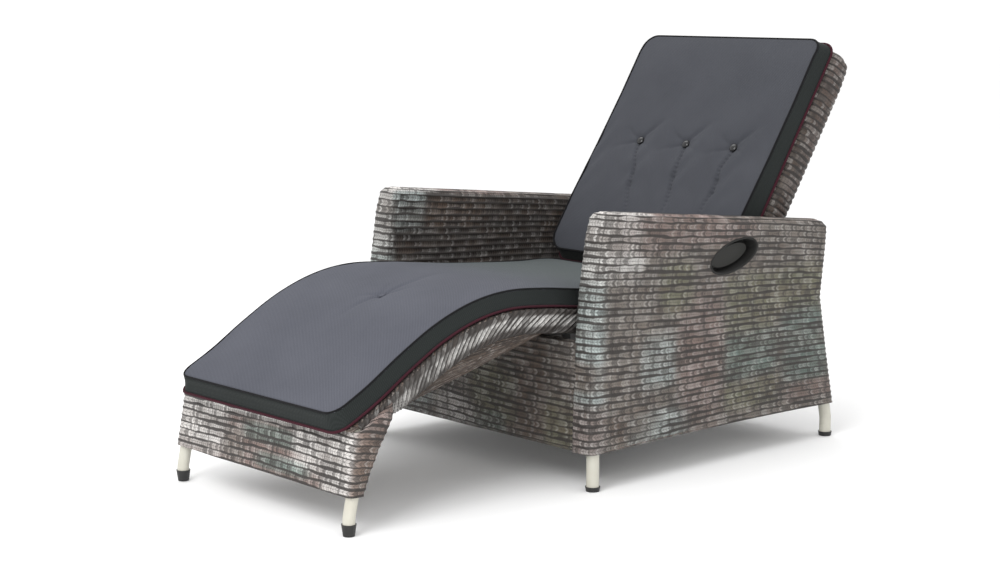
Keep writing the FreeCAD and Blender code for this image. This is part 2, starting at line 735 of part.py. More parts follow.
def back_cushion():
    """The back cushion, its front slightly bowed, with three hollows for the buttons."""
    front = [(10, 96), (60, 107), (175, 108), (330, 101), (480, 98), (610, 100), (660, 94), (675, 80)]
    outline = [("-$back_front - 0.5", 10), ("-$back_front - 0.5", 675)]
    outline += [("-%g" % depth, up) for up, depth in reversed(front)]
    body = doc.addObject("PartDesign::Body", "back_cushion")
    pad(body, "Cushion", "YZ_Plane", outline, "-$cushion_half", "2 * $cushion_half")
    spots = [(x, 350) for x in (-150, 5, 160)]
    holes(body, "Hollows", "XZ_Plane", spots, 15, 88, 40)
    tie_to_back(body)
    keep(body, "back_cushion")


def lever_plates():
    """Two slotted ears that join the back's lower tube to the gas spring's pin."""
    swing = math.radians(size("$lever_swing"))
    inward = back_place().inverse()
    down = Vector(0, math.sin(swing), -math.cos(swing))
    top = Vector(0, -5, 35)
    axis = Vector(0, 0, 0)
    tip = inward.multVec(HINGE + down * 104)
    near = inward.multVec(HINGE + down * 92)
    far = inward.multVec(HINGE + down * 106)
    slot_half = size("$rod_radius") + 1.15
    plates = []
    slots = []
    for left in (-17, 9):
        plates.append(capsule(top, axis, 12, left, left + 8))
        plates.append(capsule(axis, tip, 14, left, left + 8))
        slots.append(capsule(near, far, slot_half, left - 1, left + 9))
    return plates, slots


def back_frame():
    """A bent tube with two cross tubes, a boss at each end and the lever's two ears."""
    radius = size("$rail_radius")
    wall = size("$tube_wall")
    side_x = size("$back_half") - 20
    top = size("$back_top - $weave_wall") - radius - 0.3
    corners = [(-side_x, 0), (-side_x, top), (side_x, top), (side_x, 0)]
    path = bent_path([Vector(x, -5, z) for x, z in corners], 60)
    tubes = [tube_pair(path, radius, wall)]
    for level in (35, 340):
        start = Vector(-side_x, -5, level)
        tubes.append(straight_pair(start, Vector(side_x, -5, level), 11, wall))
    plates, slots = lever_plates()
    bores = list(slots)
    extras = list(plates)
    for side in (1, -1):
        extras.append(bar(Vector(side * 274, 0, 0), Vector(side * 317.5, 0, 0), 15))
        bores.append(bar(Vector(side * 270, 0, 0), Vector(side * 325, 0, 0), size("$pin_radius") + 0.06))
    feature("back_frame", welded(tubes, wall, extras, bores), back_place())


back_frame()
back_weave()
back_cushion()
spots = [Vector(x, -88.3, 350) for x in (-150, 5, 160)]
buttons = [button(spot, Vector(0, -1, 0), 10) for spot in spots]
feature("back_buttons", Part.makeCompound(buttons), back_place())


# ---------------------------------------------------------------- recline hinge
def sleeve(inner, outer, start, end, centre):
    """A ring or tube along x about a centre."""
    low, high = sorted((start, end))
    ring = Part.makeCylinder(outer, high - low, centre + X_AXIS * low, X_AXIS)
    return ring.cut(Part.makeCylinder(inner, high - low + 2, centre + X_AXIS * (low - 1), X_AXIS))


pin_radius = size("$pin_radius")
pins = []
bushes = []
washers = []
for side_sign in (1, -1):
    shank = bar(HINGE + X_AXIS * side_sign * 268, HINGE + X_AXIS * side_sign * 356, pin_radius)
    head = bar(HINGE + X_AXIS * side_sign * 356, HINGE + X_AXIS * side_sign * 358.5, pin_radius + 3)
    pins.append(shank.fuse(head).removeSplitter())
    start, end = side_sign * 331.5, side_sign * 352
    bushes.append(sleeve(pin_radius + 0.06, pin_radius + 1.9, start, end, HINGE))
    washers.append(sleeve(pin_radius + 0.3, 13, side_sign * 317.8, side_sign * 323.7, HINGE))
feature("hinge_pins", Part.makeCompound(pins))
feature("hinge_bushes", Part.makeCompound(bushes))
feature("hinge_washers", Part.makeCompound(washers))


# ---------------------------------------------------------------- frame bolts
bolts = []
for side_sign in (1, -1):
    for point in side_bolts():
        reach = X_AXIS * side_sign
        shank = bar(point + reach * 302, point + reach * 351.3, size("$bolt_radius"))
        head = bar(point + reach * 351.3, point + reach * 356.3, 6.5)
        bolts.append(shank.fuse(head).removeSplitter())
feature("frame_bolts", Part.makeCompound(bolts))


# ---------------------------------------------------------------- gas spring
spring_z = "$hinge_z - $spring_drop"
pin_rest = "$hinge_y + $spring_drop * tan($lever_swing * 1 deg)"


def along_y(name, radius, start, end, x=0):
    """A cylinder along y on the gas spring's axis."""
    return cylinder(name, radius, "%s - (%s)" % (end, start), (x, start, spring_z), TURN_TO_Y)


barrel = along_y("barrel", "$spring_radius", "$spring_front", "$spring_rear")
barrel_bore = along_y("barrel_bore", "$spring_radius - 2", "$spring_front + 4", "$spring_rear + 1")
keep(cut("gas_spring_cylinder", barrel, barrel_bore), "gas_spring_cylinder")
gland = along_y("gland", "$spring_radius - 2.05", "$spring_rear - 13", "$spring_rear")
gland_bore = along_y("gland_bore", "$rod_radius + 0.06", "$spring_rear - 14", "$spring_rear + 1")
keep(cut("gas_spring_gland", gland, gland_bore), "gas_spring_gland")
rod_start = "$spring_rear - 27"
piston = along_y("piston", "$spring_radius - 2.08", rod_start, "$spring_rear - 15")
piston_bore = along_y("piston_bore", "$rod_radius - 0.9", "$spring_rear - 28", "$spring_rear - 14")
keep(cut("gas_spring_piston", piston, piston_bore), "gas_spring_piston")
spigot = along_y("rod_spigot", "$rod_radius - 1", rod_start, "$spring_rear - 14")
shaft = along_y("rod_shaft", "$rod_radius", "$spring_rear - 14.7", pin_rest + " - 6")
eye = cylinder("rod_eye", 9, 15, (-7.5, pin_rest, spring_z), TURN_TO_X)
eye_bore = cylinder("rod_eye_bore", "$rod_radius + 0.05", 20, (-10, pin_rest, spring_z), TURN_TO_X)
keep(cut("gas_spring_rod", fuse("rod_solid", [spigot, shaft, eye]), eye_bore), "gas_spring_rod")
pin_shank = cylinder("pin_shank", "$rod_radius", 35.6, (-17.8, pin_rest, spring_z), TURN_TO_X)
pin_heads = [cylinder("pin_head", 8, 2.5, (x, pin_rest, spring_z), TURN_TO_X) for x in (-20.3, 17.8)]
keep(fuse("lever_pin", [pin_shank] + pin_heads), "lever_pin")


def spring_bracket():
    """Two clamps round the gas spring, hung from a plate under two deck cross tubes."""
    axis_z = size(spring_z)
    front = deck_bolt(150)
    rear = deck_bolt(235)
    top = min(front.z, rear.z) - size("$rail_radius") - 0.3
    plate = Part.makeBox(44, rear.y - front.y + 24, 4, Vector(-22, front.y - 12, top - 4))
    shape = plate
    for y in (front.y + 6, rear.y - 14):
        ring = Part.makeCylinder(19, 8, Vector(0, y, axis_z), Vector(0, 1, 0))
        web = Part.makeBox(20, 8, top - 3 - axis_z, Vector(-10, y, axis_z))
        shape = shape.fuse(ring).fuse(web)
    hole = Part.makeCylinder(size("$spring_radius") + 0.2, 200, Vector(0, 120, axis_z), Vector(0, 1, 0))
    shape = shape.cut(hole)
    screws = []
    for centre in (front, rear):
        for x in (-12, 12):
            shape = shape.cut(Part.makeCylinder(3.2, 20, Vector(x, centre.y, top - 10)))
            shank = Part.makeCylinder(3, 17, Vector(x, centre.y, top - 4.3))
            head = Part.makeCylinder(5.5, 3.5, Vector(x, centre.y, top - 7.8))
            screws.append(shank.fuse(head).removeSplitter())
    feature("gas_spring_bracket", shape.Solids[0])
    feature("bracket_screws", Part.makeCompound(screws))


spring_bracket()
head_block = box("head_block", (26, 24, 30), (-13, "$spring_front - 24.3", spring_z + " - 15"))
head_ears = [box("head_ear", (4, 16, 24), (x, "$spring_front - 22", spring_z + " + 13")) for x in (-8, 4)]
lever_axis = ("$spring_front - 14", spring_z + " + 28")
head_bore = cylinder("head_bore", 3.05, 40, (-20, lever_axis[0], lever_axis[1]), TURN_TO_X)
keep(cut("release_head", fuse("head_solid", [head_block] + head_ears), head_bore), "release_head")
lever_arm = box("lever_arm", (7, 6, 40), (-3.5, "$spring_front - 17", spring_z + " + 20"))
lever_hub = cylinder("lever_hub", 6, 7, (-3.5, lever_axis[0], lever_axis[1]), TURN_TO_X)
lever_bore = cylinder("lever_bore", 3.06, 20, (-10, lever_axis[0], lever_axis[1]), TURN_TO_X)
keep(cut("release_lever", fuse("lever_solid", [lever_arm, lever_hub]), lever_bore), "release_lever")
keep(cylinder("release_lever_pin", 3, 20, (-10, lever_axis[0], lever_axis[1]), TURN_TO_X), "release_lever_pin")


# ---------------------------------------------------------------- release handle
SPINDLE_ALONG = -56
SPINDLE_OUT = -26.5


def cup_ellipse(body, kind, name, half_long, half_short, start, length):
    """An oval step of a body in the cup's frame: x outward, y along it, z up."""
    sketch = start_sketch(body, name + "_sketch", "YZ_Plane", start)
    ellipse(sketch, half_long, half_short)
    return extrude(body, kind, name, sketch, length)


def handle_cup():
    """An oval cup with a hidden flange, two hinge ears and two screw bosses."""
    body = doc.addObject("PartDesign::Body", "handle_cup")
    cup_ellipse(body, "Pad", "Wall", "$cup_long - 0.4", "$cup_short - 0.4", "-$cup_deep", "$cup_deep - 0.4")
    cup_ellipse(body, "Pad", "Flange", "$cup_long + 7", "$cup_short + 7", "-$weave_wall - 2.5", "2.2")
    before = body.Shape.Volume
    cup_ellipse(body, "Pocket", "Inside", "$cup_long - 2.4", "$cup_short - 2.4", "-$cup_deep + 2", "$cup_deep")
    if body.Shape.Volume > before / 2:
        raise RuntimeError("the handle cup isn't hollow")
    front = SPINDLE_ALONG - 5
    rear = SPINDLE_ALONG + 5
    for index, low in enumerate((-17.5, 13.5)):
        ear = [(front, low), (rear, low), (rear, low + 4), (front, low + 4)]
        pad(body, "Ear%d" % index, "YZ_Plane", ear, "-$cup_deep + 1", "$cup_deep - 22.6")
    for index, up in enumerate((-14, 14)):
        boss = [(-6, up - 6), (6, up - 6), (6, up + 6), (-6, up + 6)]
        pad(body, "Boss%d" % index, "YZ_Plane", boss, "-42.7", "43.7 - $cup_deep")
    holes(body, "ScrewHoles", "YZ_Plane", [(0, -14), (0, 14)], 2.1, "-50", "20")
    holes(body, "CableHole", "YZ_Plane", [(-24, 0)], 2, "-50", "20")
    holes(body, "SpindleHole", "XY_Plane", [(SPINDLE_OUT, SPINDLE_ALONG)], 2.04, "-19", "38")
    body.Placement = cup_place()
    keep(body, "handle_cup")


def release_paddle():
    """A flat oval plate on two knuckles, hinged near its front end."""
    body = doc.addObject("PartDesign::Body", "release_paddle")
    cup_ellipse(body, "Pad", "Plate", "$cup_long - 20", "$cup_short - 11.5", "-20.4", "4")
    for index, low in enumerate((-12.6, 4.3)):
        knuckle = [
            (SPINDLE_OUT - 4.5, SPINDLE_ALONG - 3), (SPINDLE_OUT - 3, SPINDLE_ALONG - 4.5),
            (-20, SPINDLE_ALONG + 0.5), (-20, SPINDLE_ALONG + 8), (SPINDLE_OUT - 3, SPINDLE_ALONG + 4.5),
            (SPINDLE_OUT - 4.5, SPINDLE_ALONG + 3),
        ]
        pad(body, "Knuckle%d" % index, "XY_Plane", knuckle, str(low), "8.3")
    holes(body, "SpindleHole", "XY_Plane", [(SPINDLE_OUT, SPINDLE_ALONG)], 2.06, "-19", "38")
    body.Placement = cup_place()
    keep(body, "release_paddle")


def paddle_spring():
    """A torsion spring round the spindle, one leg to the cup's floor, one under the paddle."""
    mean = 3.4
    turns = 3.5
    points = [Vector(mean + 4.9, -11, -3), Vector(mean + 2.2, -6, -3)]
    count = 56
    for index in range(count + 1):
        angle = 2 * math.pi * turns * index / count
        points.append(Vector(mean * math.cos(angle), mean * math.sin(angle), -3 + 6 * index / count))
    points += [Vector(-mean - 0.7, -6, 3), Vector(-mean - 1.3, -11, 3)]
    path = Part.BSplineCurve()
    path.interpolate(points)
    wire = Part.Wire(path.toShape())
    place = Placement(Vector(SPINDLE_OUT, SPINDLE_ALONG, 0), Rotation(Vector(0, 0, 1), 180))
    feature("paddle_spring", sweep(wire, 0.7), cup_place().multiply(place))


handle_cup()
release_paddle()
paddle_spring()
cup_frame = cup_place()
spindle_start = Vector(SPINDLE_OUT, SPINDLE_ALONG, -18.6)
spindle_end = Vector(SPINDLE_OUT, SPINDLE_ALONG, 18.6)
feature("paddle_spindle", bar(spindle_start, spindle_end, 2), cup_frame)
socket_back = Vector(-46, -24, 0)
socket_front = Vector(-size("$cup_deep") - 0.1, -24, 0)
socket = bar(socket_back, socket_front, 5).cut(bar(socket_back, socket_front, 1.6))
feature("cable_socket", socket, cup_frame)
cup_screws = []
cup_floor = 2 - size("$cup_deep")
for up in (-14, 14):
    shank = bar(Vector(-49, 0, up), Vector(cup_floor, 0, up), 1.95)
    head = bar(Vector(cup_floor, 0, up), Vector(cup_floor + 2, 0, up), 3.8)
    cup_screws.append(shank.fuse(head).removeSplitter())
feature("cup_screws", Part.makeCompound(cup_screws), cup_frame)


# ---------------------------------------------------------------- check and export
doc.recompute()
for thing in doc.Objects:
    if "Invalid" in thing.State or "Error" in thing.State:
        raise RuntimeError("%s failed: %s" % (thing.Label, thing.State))
for piece in pieces:
    if piece.Shape.isNull() or not piece.Shape.isValid():
        raise RuntimeError("%s has a bad shape" % piece.Label)
os.makedirs("parts", exist_ok=True)
for piece in pieces:
    piece.Shape.exportStep("parts/%s.step" % piece.Label)
    limits = piece.Shape.BoundBox
    spans = (limits.XMin, limits.XMax, limits.YMin, limits.YMax, limits.ZMin, limits.ZMax)
    detail = " ".join("%8.1f" % value for value in spans)
    print("%-24s %2d %s %10.1f" % (piece.Label, len(piece.Shape.Solids), detail, piece.Shape.Volume / 1000))
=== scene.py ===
"""The looks of a reclining sun lounger: woven arms, apron, deck and back, padded cushions and trim.

Every piece is made in metres in the row frame, where +Z is up, the foot end is at -Y and the
arm with the release lever is at +X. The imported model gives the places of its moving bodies.
"""
import enum
import logging
import math
from dataclasses import dataclass, field

import bmesh
import bpy
import numpy as np
from mathutils import Matrix, Vector


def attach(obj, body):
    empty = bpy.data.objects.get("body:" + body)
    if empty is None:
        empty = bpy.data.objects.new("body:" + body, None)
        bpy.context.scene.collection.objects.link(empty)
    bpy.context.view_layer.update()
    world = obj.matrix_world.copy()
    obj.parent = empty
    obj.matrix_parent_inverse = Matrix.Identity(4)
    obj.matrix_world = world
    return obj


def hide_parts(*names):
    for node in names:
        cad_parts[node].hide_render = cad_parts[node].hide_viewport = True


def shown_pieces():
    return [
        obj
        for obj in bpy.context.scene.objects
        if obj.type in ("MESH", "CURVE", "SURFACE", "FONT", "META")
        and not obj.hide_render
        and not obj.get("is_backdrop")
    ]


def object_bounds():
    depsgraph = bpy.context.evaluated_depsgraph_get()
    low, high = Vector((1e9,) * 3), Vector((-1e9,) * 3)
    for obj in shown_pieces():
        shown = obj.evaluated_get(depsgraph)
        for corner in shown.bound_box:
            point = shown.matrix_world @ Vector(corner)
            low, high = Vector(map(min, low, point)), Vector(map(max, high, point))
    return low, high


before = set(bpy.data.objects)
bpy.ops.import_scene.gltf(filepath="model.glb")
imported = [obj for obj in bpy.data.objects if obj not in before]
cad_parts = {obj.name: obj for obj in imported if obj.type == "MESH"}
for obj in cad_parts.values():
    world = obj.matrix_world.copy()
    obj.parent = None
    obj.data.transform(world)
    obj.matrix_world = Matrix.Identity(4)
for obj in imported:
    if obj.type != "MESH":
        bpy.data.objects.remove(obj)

log = logging.getLogger("sun_lounger")
CAD_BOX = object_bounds()
HINGE_Y = 0.403
HINGE_Z = 0.350
BACK_LEAN = math.radians(33.5)
QUAD_CORNERS = ((0, 0), (0, 1), (1, 1), (1, 0))
BUTTON_PIT = 0.0085


class Body(enum.Enum):
    """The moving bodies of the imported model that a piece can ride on."""

    BASE = "base"
    BACK = "back"


class Shade(enum.Enum):
    """Strand colours of the woven parts, and the painted shade of their gaps, as linear red, green and blue."""

    WHITE = (0.60, 0.59, 0.57)
    PALE_BLUE = (0.33, 0.38, 0.37)
    PINK_BROWN = (0.215, 0.155, 0.140)
    BROWN = (0.115, 0.080, 0.060)
    OLIVE = (0.160, 0.165, 0.100)
    TEAL = (0.115, 0.175, 0.155)
    GREY = (0.190, 0.172, 0.152)
    # DARK is also the painted shade in the gaps of the weave, and on the wrapped rims above and below their lit band.
    DARK = (0.028, 0.024, 0.022)


# ------------------------------------------------------------------ node bench
class Bench:
    """A material's node tree and short ways to add nodes to it."""

    def __init__(self, name: str) -> None:
        """Start an empty material with a shader and an output."""
        self.material = bpy.data.materials.new(name)
        self.material.use_nodes = True
        self.tree = self.material.node_tree
        self.tree.nodes.clear()
        self.shader = self.tree.nodes.new("ShaderNodeBsdfPrincipled")
        output = self.tree.nodes.new("ShaderNodeOutputMaterial")
        self.link(self.shader.outputs["BSDF"], output.inputs["Surface"])

    def link(self, source: bpy.types.NodeSocket, target: bpy.types.NodeSocket) -> None:
        """Join two sockets."""
        self.tree.links.new(source, target)

    def feed(self, socket: bpy.types.NodeSocket, value: object) -> None:
        """Give a socket a number, a colour or another node's output.

        Args:
            socket: the input to fill.
            value: a socket to link, or a plain value.
        """
        if isinstance(value, bpy.types.NodeSocket):
            self.link(value, socket)
        elif isinstance(value, tuple) and len(value) == 3 and socket.type == "RGBA":
            socket.default_value = (*value, 1.0)
        else:
            socket.default_value = value

    def math(self, operation: str, *values: object) -> bpy.types.NodeSocket:
        """A Math node.

        Args:
            operation: the node's operation, such as "MULTIPLY".
            values: its inputs in order.

        Returns:
            The node's output.
        """
        node = self.tree.nodes.new("ShaderNodeMath")
        node.operation = operation
        for socket, value in zip(node.inputs, values):
            self.feed(socket, value)
        return node.outputs[0]

    def times(self, first: object, second: object) -> bpy.types.NodeSocket:
        """The product of two inputs."""
        return self.math("MULTIPLY", first, second)

    def plus(self, first: object, second: object) -> bpy.types.NodeSocket:
        """The sum of two inputs."""
        return self.math("ADD", first, second)

    def fade(self, value: object, share: float) -> bpy.types.NodeSocket:
        """1 where the value is 1, and less by the share where it is 0."""
        return self.plus(self.times(value, share), 1.0 - share)

    def stretch(self, x: object, y: object, x_scale: float, y_scale: float, z: float = 0.0) -> bpy.types.NodeSocket:
        """Two coordinates scaled by their own factors, on a plane of noise at height z."""
        return self.join(self.times(x, x_scale), self.times(y, y_scale), z)

    def coat(self, inputs: dict) -> None:
        """Fill the shader's inputs, each by its name."""
        for name, value in inputs.items():
            self.feed(self.shader.inputs[name], value)

    def mix(self, factor: object, first: object, second: object, blend: str = "MIX") -> bpy.types.NodeSocket:
        """A colour Mix node.

        Args:
            factor: how much of the second colour.
            first: the colour at 0.
            second: the colour at 1.
            blend: the blend type.

        Returns:
            The mixed colour.
        """
        node = self.tree.nodes.new("ShaderNodeMix")
        node.data_type = "RGBA"
        node.blend_type = blend
        self.feed(node.inputs["Factor"], factor)
        self.feed(node.inputs["A"], first)
        self.feed(node.inputs["B"], second)
        return node.outputs["Result"]

    def noise(self, place: object, scale: float, detail: float = 2.0) -> bpy.types.NodeSocket:
        """A noise field.

        Args:
            place: the coordinates to read.
            scale: waves per unit.
            detail: octaves.

        Returns:
            The field's value from 0 to 1.
        """
        node = self.tree.nodes.new("ShaderNodeTexNoise")
        node.inputs["Scale"].default_value = scale
        node.inputs["Detail"].default_value = detail
        if place is not None:
            self.link(place, node.inputs["Vector"])
        return node.outputs["Fac"]

    def scatter(self, first: object, second: object) -> bpy.types.NodeSocket:
        """White noise of two whole numbers, the same for every point of one cell."""
        pair = self.join(first, second, 0.0)
        node = self.tree.nodes.new("ShaderNodeTexWhiteNoise")
        node.noise_dimensions = "3D"
        self.link(pair, node.inputs["Vector"])
        return node.outputs["Value"]

    def join(self, x: object, y: object, z: object) -> bpy.types.NodeSocket:
        """Three numbers as one vector."""
        node = self.tree.nodes.new("ShaderNodeCombineXYZ")
        for socket, value in zip(node.inputs, (x, y, z)):
            self.feed(socket, value)
        return node.outputs[0]

    def split(self, vector: bpy.types.NodeSocket) -> tuple:
        """A vector's three numbers."""
        node = self.tree.nodes.new("ShaderNodeSeparateXYZ")
        self.link(vector, node.inputs[0])
        return node.outputs[0], node.outputs[1], node.outputs[2]

    def ramp(self, value: object, low: float, high: float) -> bpy.types.NodeSocket:
        """A smooth step from 0 at low to 1 at high."""
        node = self.tree.nodes.new("ShaderNodeMapRange")
        node.interpolation_type = "SMOOTHSTEP"
        self.feed(node.inputs["Value"], value)
        node.inputs["From Min"].default_value = low
        node.inputs["From Max"].default_value = high
        return node.outputs["Result"]

    def place(self) -> bpy.types.NodeSocket:
        """Object coordinates."""
        return self.tree.nodes.new("ShaderNodeTexCoord").outputs["Object"]

    def flat_place(self) -> bpy.types.NodeSocket:
        """The piece's own map, in metres along and across its surface."""
        node = self.tree.nodes.new("ShaderNodeUVMap")
        node.uv_map = "cloth"
        return node.outputs["UV"]

    def attribute(self, name: str) -> bpy.types.Node:
        """A node that reads one of the mesh's attributes."""
        node = self.tree.nodes.new("ShaderNodeAttribute")
        node.attribute_name = name
        return node

    def bump(self, height: bpy.types.NodeSocket, strength: float, distance: float) -> None:
        """Give the shader a relief from a height field.

        Args:
            height: the field.
            strength: 0 to 1.
            distance: its depth in metres.
        """
        node = self.tree.nodes.new("ShaderNodeBump")
        node.inputs["Strength"].default_value = strength
        node.inputs["Distance"].default_value = distance
        self.link(height, node.inputs["Height"])
        self.link(node.outputs["Normal"], self.shader.inputs["Normal"])


# ------------------------------------------------------------------ finishes
@dataclass(frozen=True)
class Strand:
    """Flat plastic strand plaited in rows, with long streaks of colour and painted shade in the gaps between the rows.
    """

    name: str
    row: float = 0.0146
    stitch: float = 0.0076
    chevron: float = 0.85
    # gap, notch and stake set the painted shade: its strength in the gaps between rows, its strength in the notches
    # between stitches, and the spacing of its dark lines along the stakes, 0 for none.
    gap: float = 0.95
    notch: float = 0.55
    streak: float = 0.75
    twist: float = 0.0
    stake: float = 0.058

    def material(self) -> bpy.types.Material:
        """Rows run across the map's second axis; in each row the stitches point along it as chevrons.

        Returns:
            A material whose base colour comes from the mesh's tone attribute.
        """
        bench = Bench(self.name)
        along, across, _ = bench.split(bench.flat_place())
        wander = bench.noise(bench.stretch(along, across, 40.0, 40.0), 1.0)
        across = bench.plus(across, bench.times(bench.math("SUBTRACT", wander, 0.5), 0.0035))
        if self.twist:
            across = bench.plus(across, bench.times(along, self.twist))
        level = bench.math("DIVIDE", across, self.row)
        row = bench.math("FLOOR", level)
        inside = bench.math("FRACT", level)
        chance = bench.scatter(row, 3.0)
        lean = bench.math("ABSOLUTE", bench.math("SUBTRACT", inside, 0.5))
        step = bench.plus(bench.math("DIVIDE", along, self.stitch), bench.times(lean, 2.0 * self.chevron))
        step = bench.plus(step, chance)
        cell = bench.math("FLOOR", step)
        within = bench.math("FRACT", step)
        pick = bench.scatter(row, cell)
        round_row = bench.math("SINE", bench.times(inside, math.pi))
        round_stitch = bench.math("SINE", bench.times(within, math.pi))
        fine = bench.noise(bench.stretch(along, across, 160.0, 1100.0), 1.0)
        strand = self.strand_colour(bench, along, row, pick, fine)
        # Painted shade: the dark colour goes where the rows part, where the chevrons meet in each row, in the notches
        # between stitches and along the stakes; unshaded is 1 on the open strand.
        thick_gap = bench.ramp(bench.noise(bench.stretch(along, row, 12.0, 5.13, 9.0), 1.0), 0.38, 0.66)
        body = bench.ramp(bench.math("SUBTRACT", round_row, bench.times(thick_gap, 0.62)), 0.06, 0.42)
        unshaded = bench.times(bench.fade(body, self.gap), bench.fade(bench.ramp(lean, 0.01, 0.10), 0.42))
        unshaded = bench.times(unshaded, bench.fade(bench.ramp(round_stitch, 0.05, 0.55), self.notch))
        if self.stake:
            place = bench.math("FRACT", bench.math("DIVIDE", along, self.stake))
            stake = bench.ramp(bench.math("ABSOLUTE", bench.math("SUBTRACT", place, 0.5)), 0.016, 0.034)
            unshaded = bench.times(unshaded, bench.fade(stake, 0.5))
        bench.coat({"Base Color": bench.mix(unshaded, Shade.DARK.value, strand), "Roughness": 0.52, "Specular IOR Level": 0.3})
        height = bench.times(round_row, bench.fade(round_stitch, 0.5))
        bench.bump(bench.plus(height, bench.times(fine, 0.25)), 0.6, 0.003)
        return bench.material

    def strand_colour(self, bench: Bench, along: object, row: object, pick: object, fine: object) -> bpy.types.NodeSocket:
        """The tone attribute streaked along each row, with bright and dark stitches and fine dark grain.

        Args:
            bench: the material's node tree.
            along: place along the row.
            row: the row's number.
            pick: each stitch's own chance, 0 to 1.
            fine: the grain.

        Returns:
            The strand's colour, before the painted shade of the gaps.
        """
        tone = bench.attribute("tone").outputs["Color"]
        long_run = bench.ramp(bench.noise(bench.stretch(along, row, 6.5, 7.31), 1.0), 0.30, 0.70)
        short_run = bench.ramp(bench.noise(bench.stretch(along, row, 26.0, 3.77, 4.0), 1.0, 1.0), 0.42, 0.66)
        strand = bench.mix(bench.times(long_run, self.streak), tone, bench.mix(0.65, tone, Shade.BROWN.value))
        strand = bench.mix(bench.times(short_run, 0.30), strand, bench.mix(0.45, tone, Shade.WHITE.value))
        bright = bench.mix(0.42, bench.mix(1.0, tone, (1.35, 1.35, 1.35), "MULTIPLY"), Shade.WHITE.value)
        strand = bench.mix(bench.times(bench.math("GREATER_THAN", pick, 0.82), 0.48), strand, bright)
        strand = bench.mix(bench.times(bench.math("LESS_THAN", pick, 0.22), 0.55), strand, Shade.DARK.value)
        return bench.mix(bench.times(bench.ramp(fine, 0.40, 0.70), 0.55), strand, Shade.DARK.value)


@dataclass(frozen=True)
class OutdoorCloth:
    """Closely woven outdoor fabric with a fine dotted weave and a soft sheen."""

    name: str
    thread: tuple
    shadow: tuple
    pitch: float = 0.0050
    tilt: float = 0.0
    tint: tuple = (0.0, 0.0, 0.0)
    tinted: float = 0.0

    def material(self) -> bpy.types.Material:
        """Two crossed waves make the weave, and slow noise varies its colour.

        Returns:
            The finished material, which reads Object coordinates.
        """
        bench = Bench(self.name)
        turn = bench.tree.nodes.new("ShaderNodeMapping")
        turn.inputs["Rotation"].default_value = (self.tilt, 0.0, 0.0)
        bench.link(bench.place(), turn.inputs["Vector"])
        side, along, up = bench.split(turn.outputs[0])
        wave = math.tau / self.pitch
        first = bench.math("SINE", bench.times(side, wave))
        second = bench.math("SINE", bench.times(bench.plus(along, bench.times(up, 0.45)), wave))
        weave = bench.times(first, second)
        dots = bench.ramp(weave, -0.5, 0.7)
        slow = bench.noise(turn.outputs[0], 7.0, 3.0)
        fuzz = bench.noise(turn.outputs[0], 900.0, 2.0)
        mixed = bench.plus(bench.times(dots, 0.55), bench.times(slow, 0.45))
        colour = bench.mix(mixed, self.shadow, self.thread)
        if self.tinted:
            _, length, _ = bench.split(bench.place())
            colour = bench.mix(bench.times(bench.ramp(length, -0.35, 0.10), self.tinted), colour, self.tint)
        bench.coat({"Base Color": colour, "Roughness": 0.85, "Specular IOR Level": 0.06})
        bench.coat({"Sheen Weight": 0.04, "Sheen Roughness": 0.5})
        relief = bench.plus(weave, bench.times(fuzz, 0.7))
        bench.bump(relief, 0.45, 0.0006)
        return bench.material


@dataclass(frozen=True)
class Moulded:
    """Moulded or painted surface with a fine grain and slightly uneven gloss."""

    name: str
    colour: tuple
    worn: tuple
    roughness: float = 0.45
    metallic: float = 0.0
    grain: float = 400.0
    depth: float = 0.0001

    def material(self) -> bpy.types.Material:
        """Fine noise gives the grain, and slow noise shifts the colour.

        Returns:
            The finished material, which reads Object coordinates.
        """
        bench = Bench(self.name)
        place = bench.place()
        slow = bench.noise(place, 14.0, 3.0)
        fine = bench.noise(place, self.grain, 2.0)
        colour = bench.mix(bench.ramp(slow, 0.3, 0.8), self.colour, self.worn)
        rough = bench.plus(bench.times(slow, 0.2), self.roughness - 0.1)
        bench.coat({"Base Color": colour, "Roughness": rough, "Metallic": self.metallic})
        bench.bump(fine, 0.3, self.depth)
        return bench.material


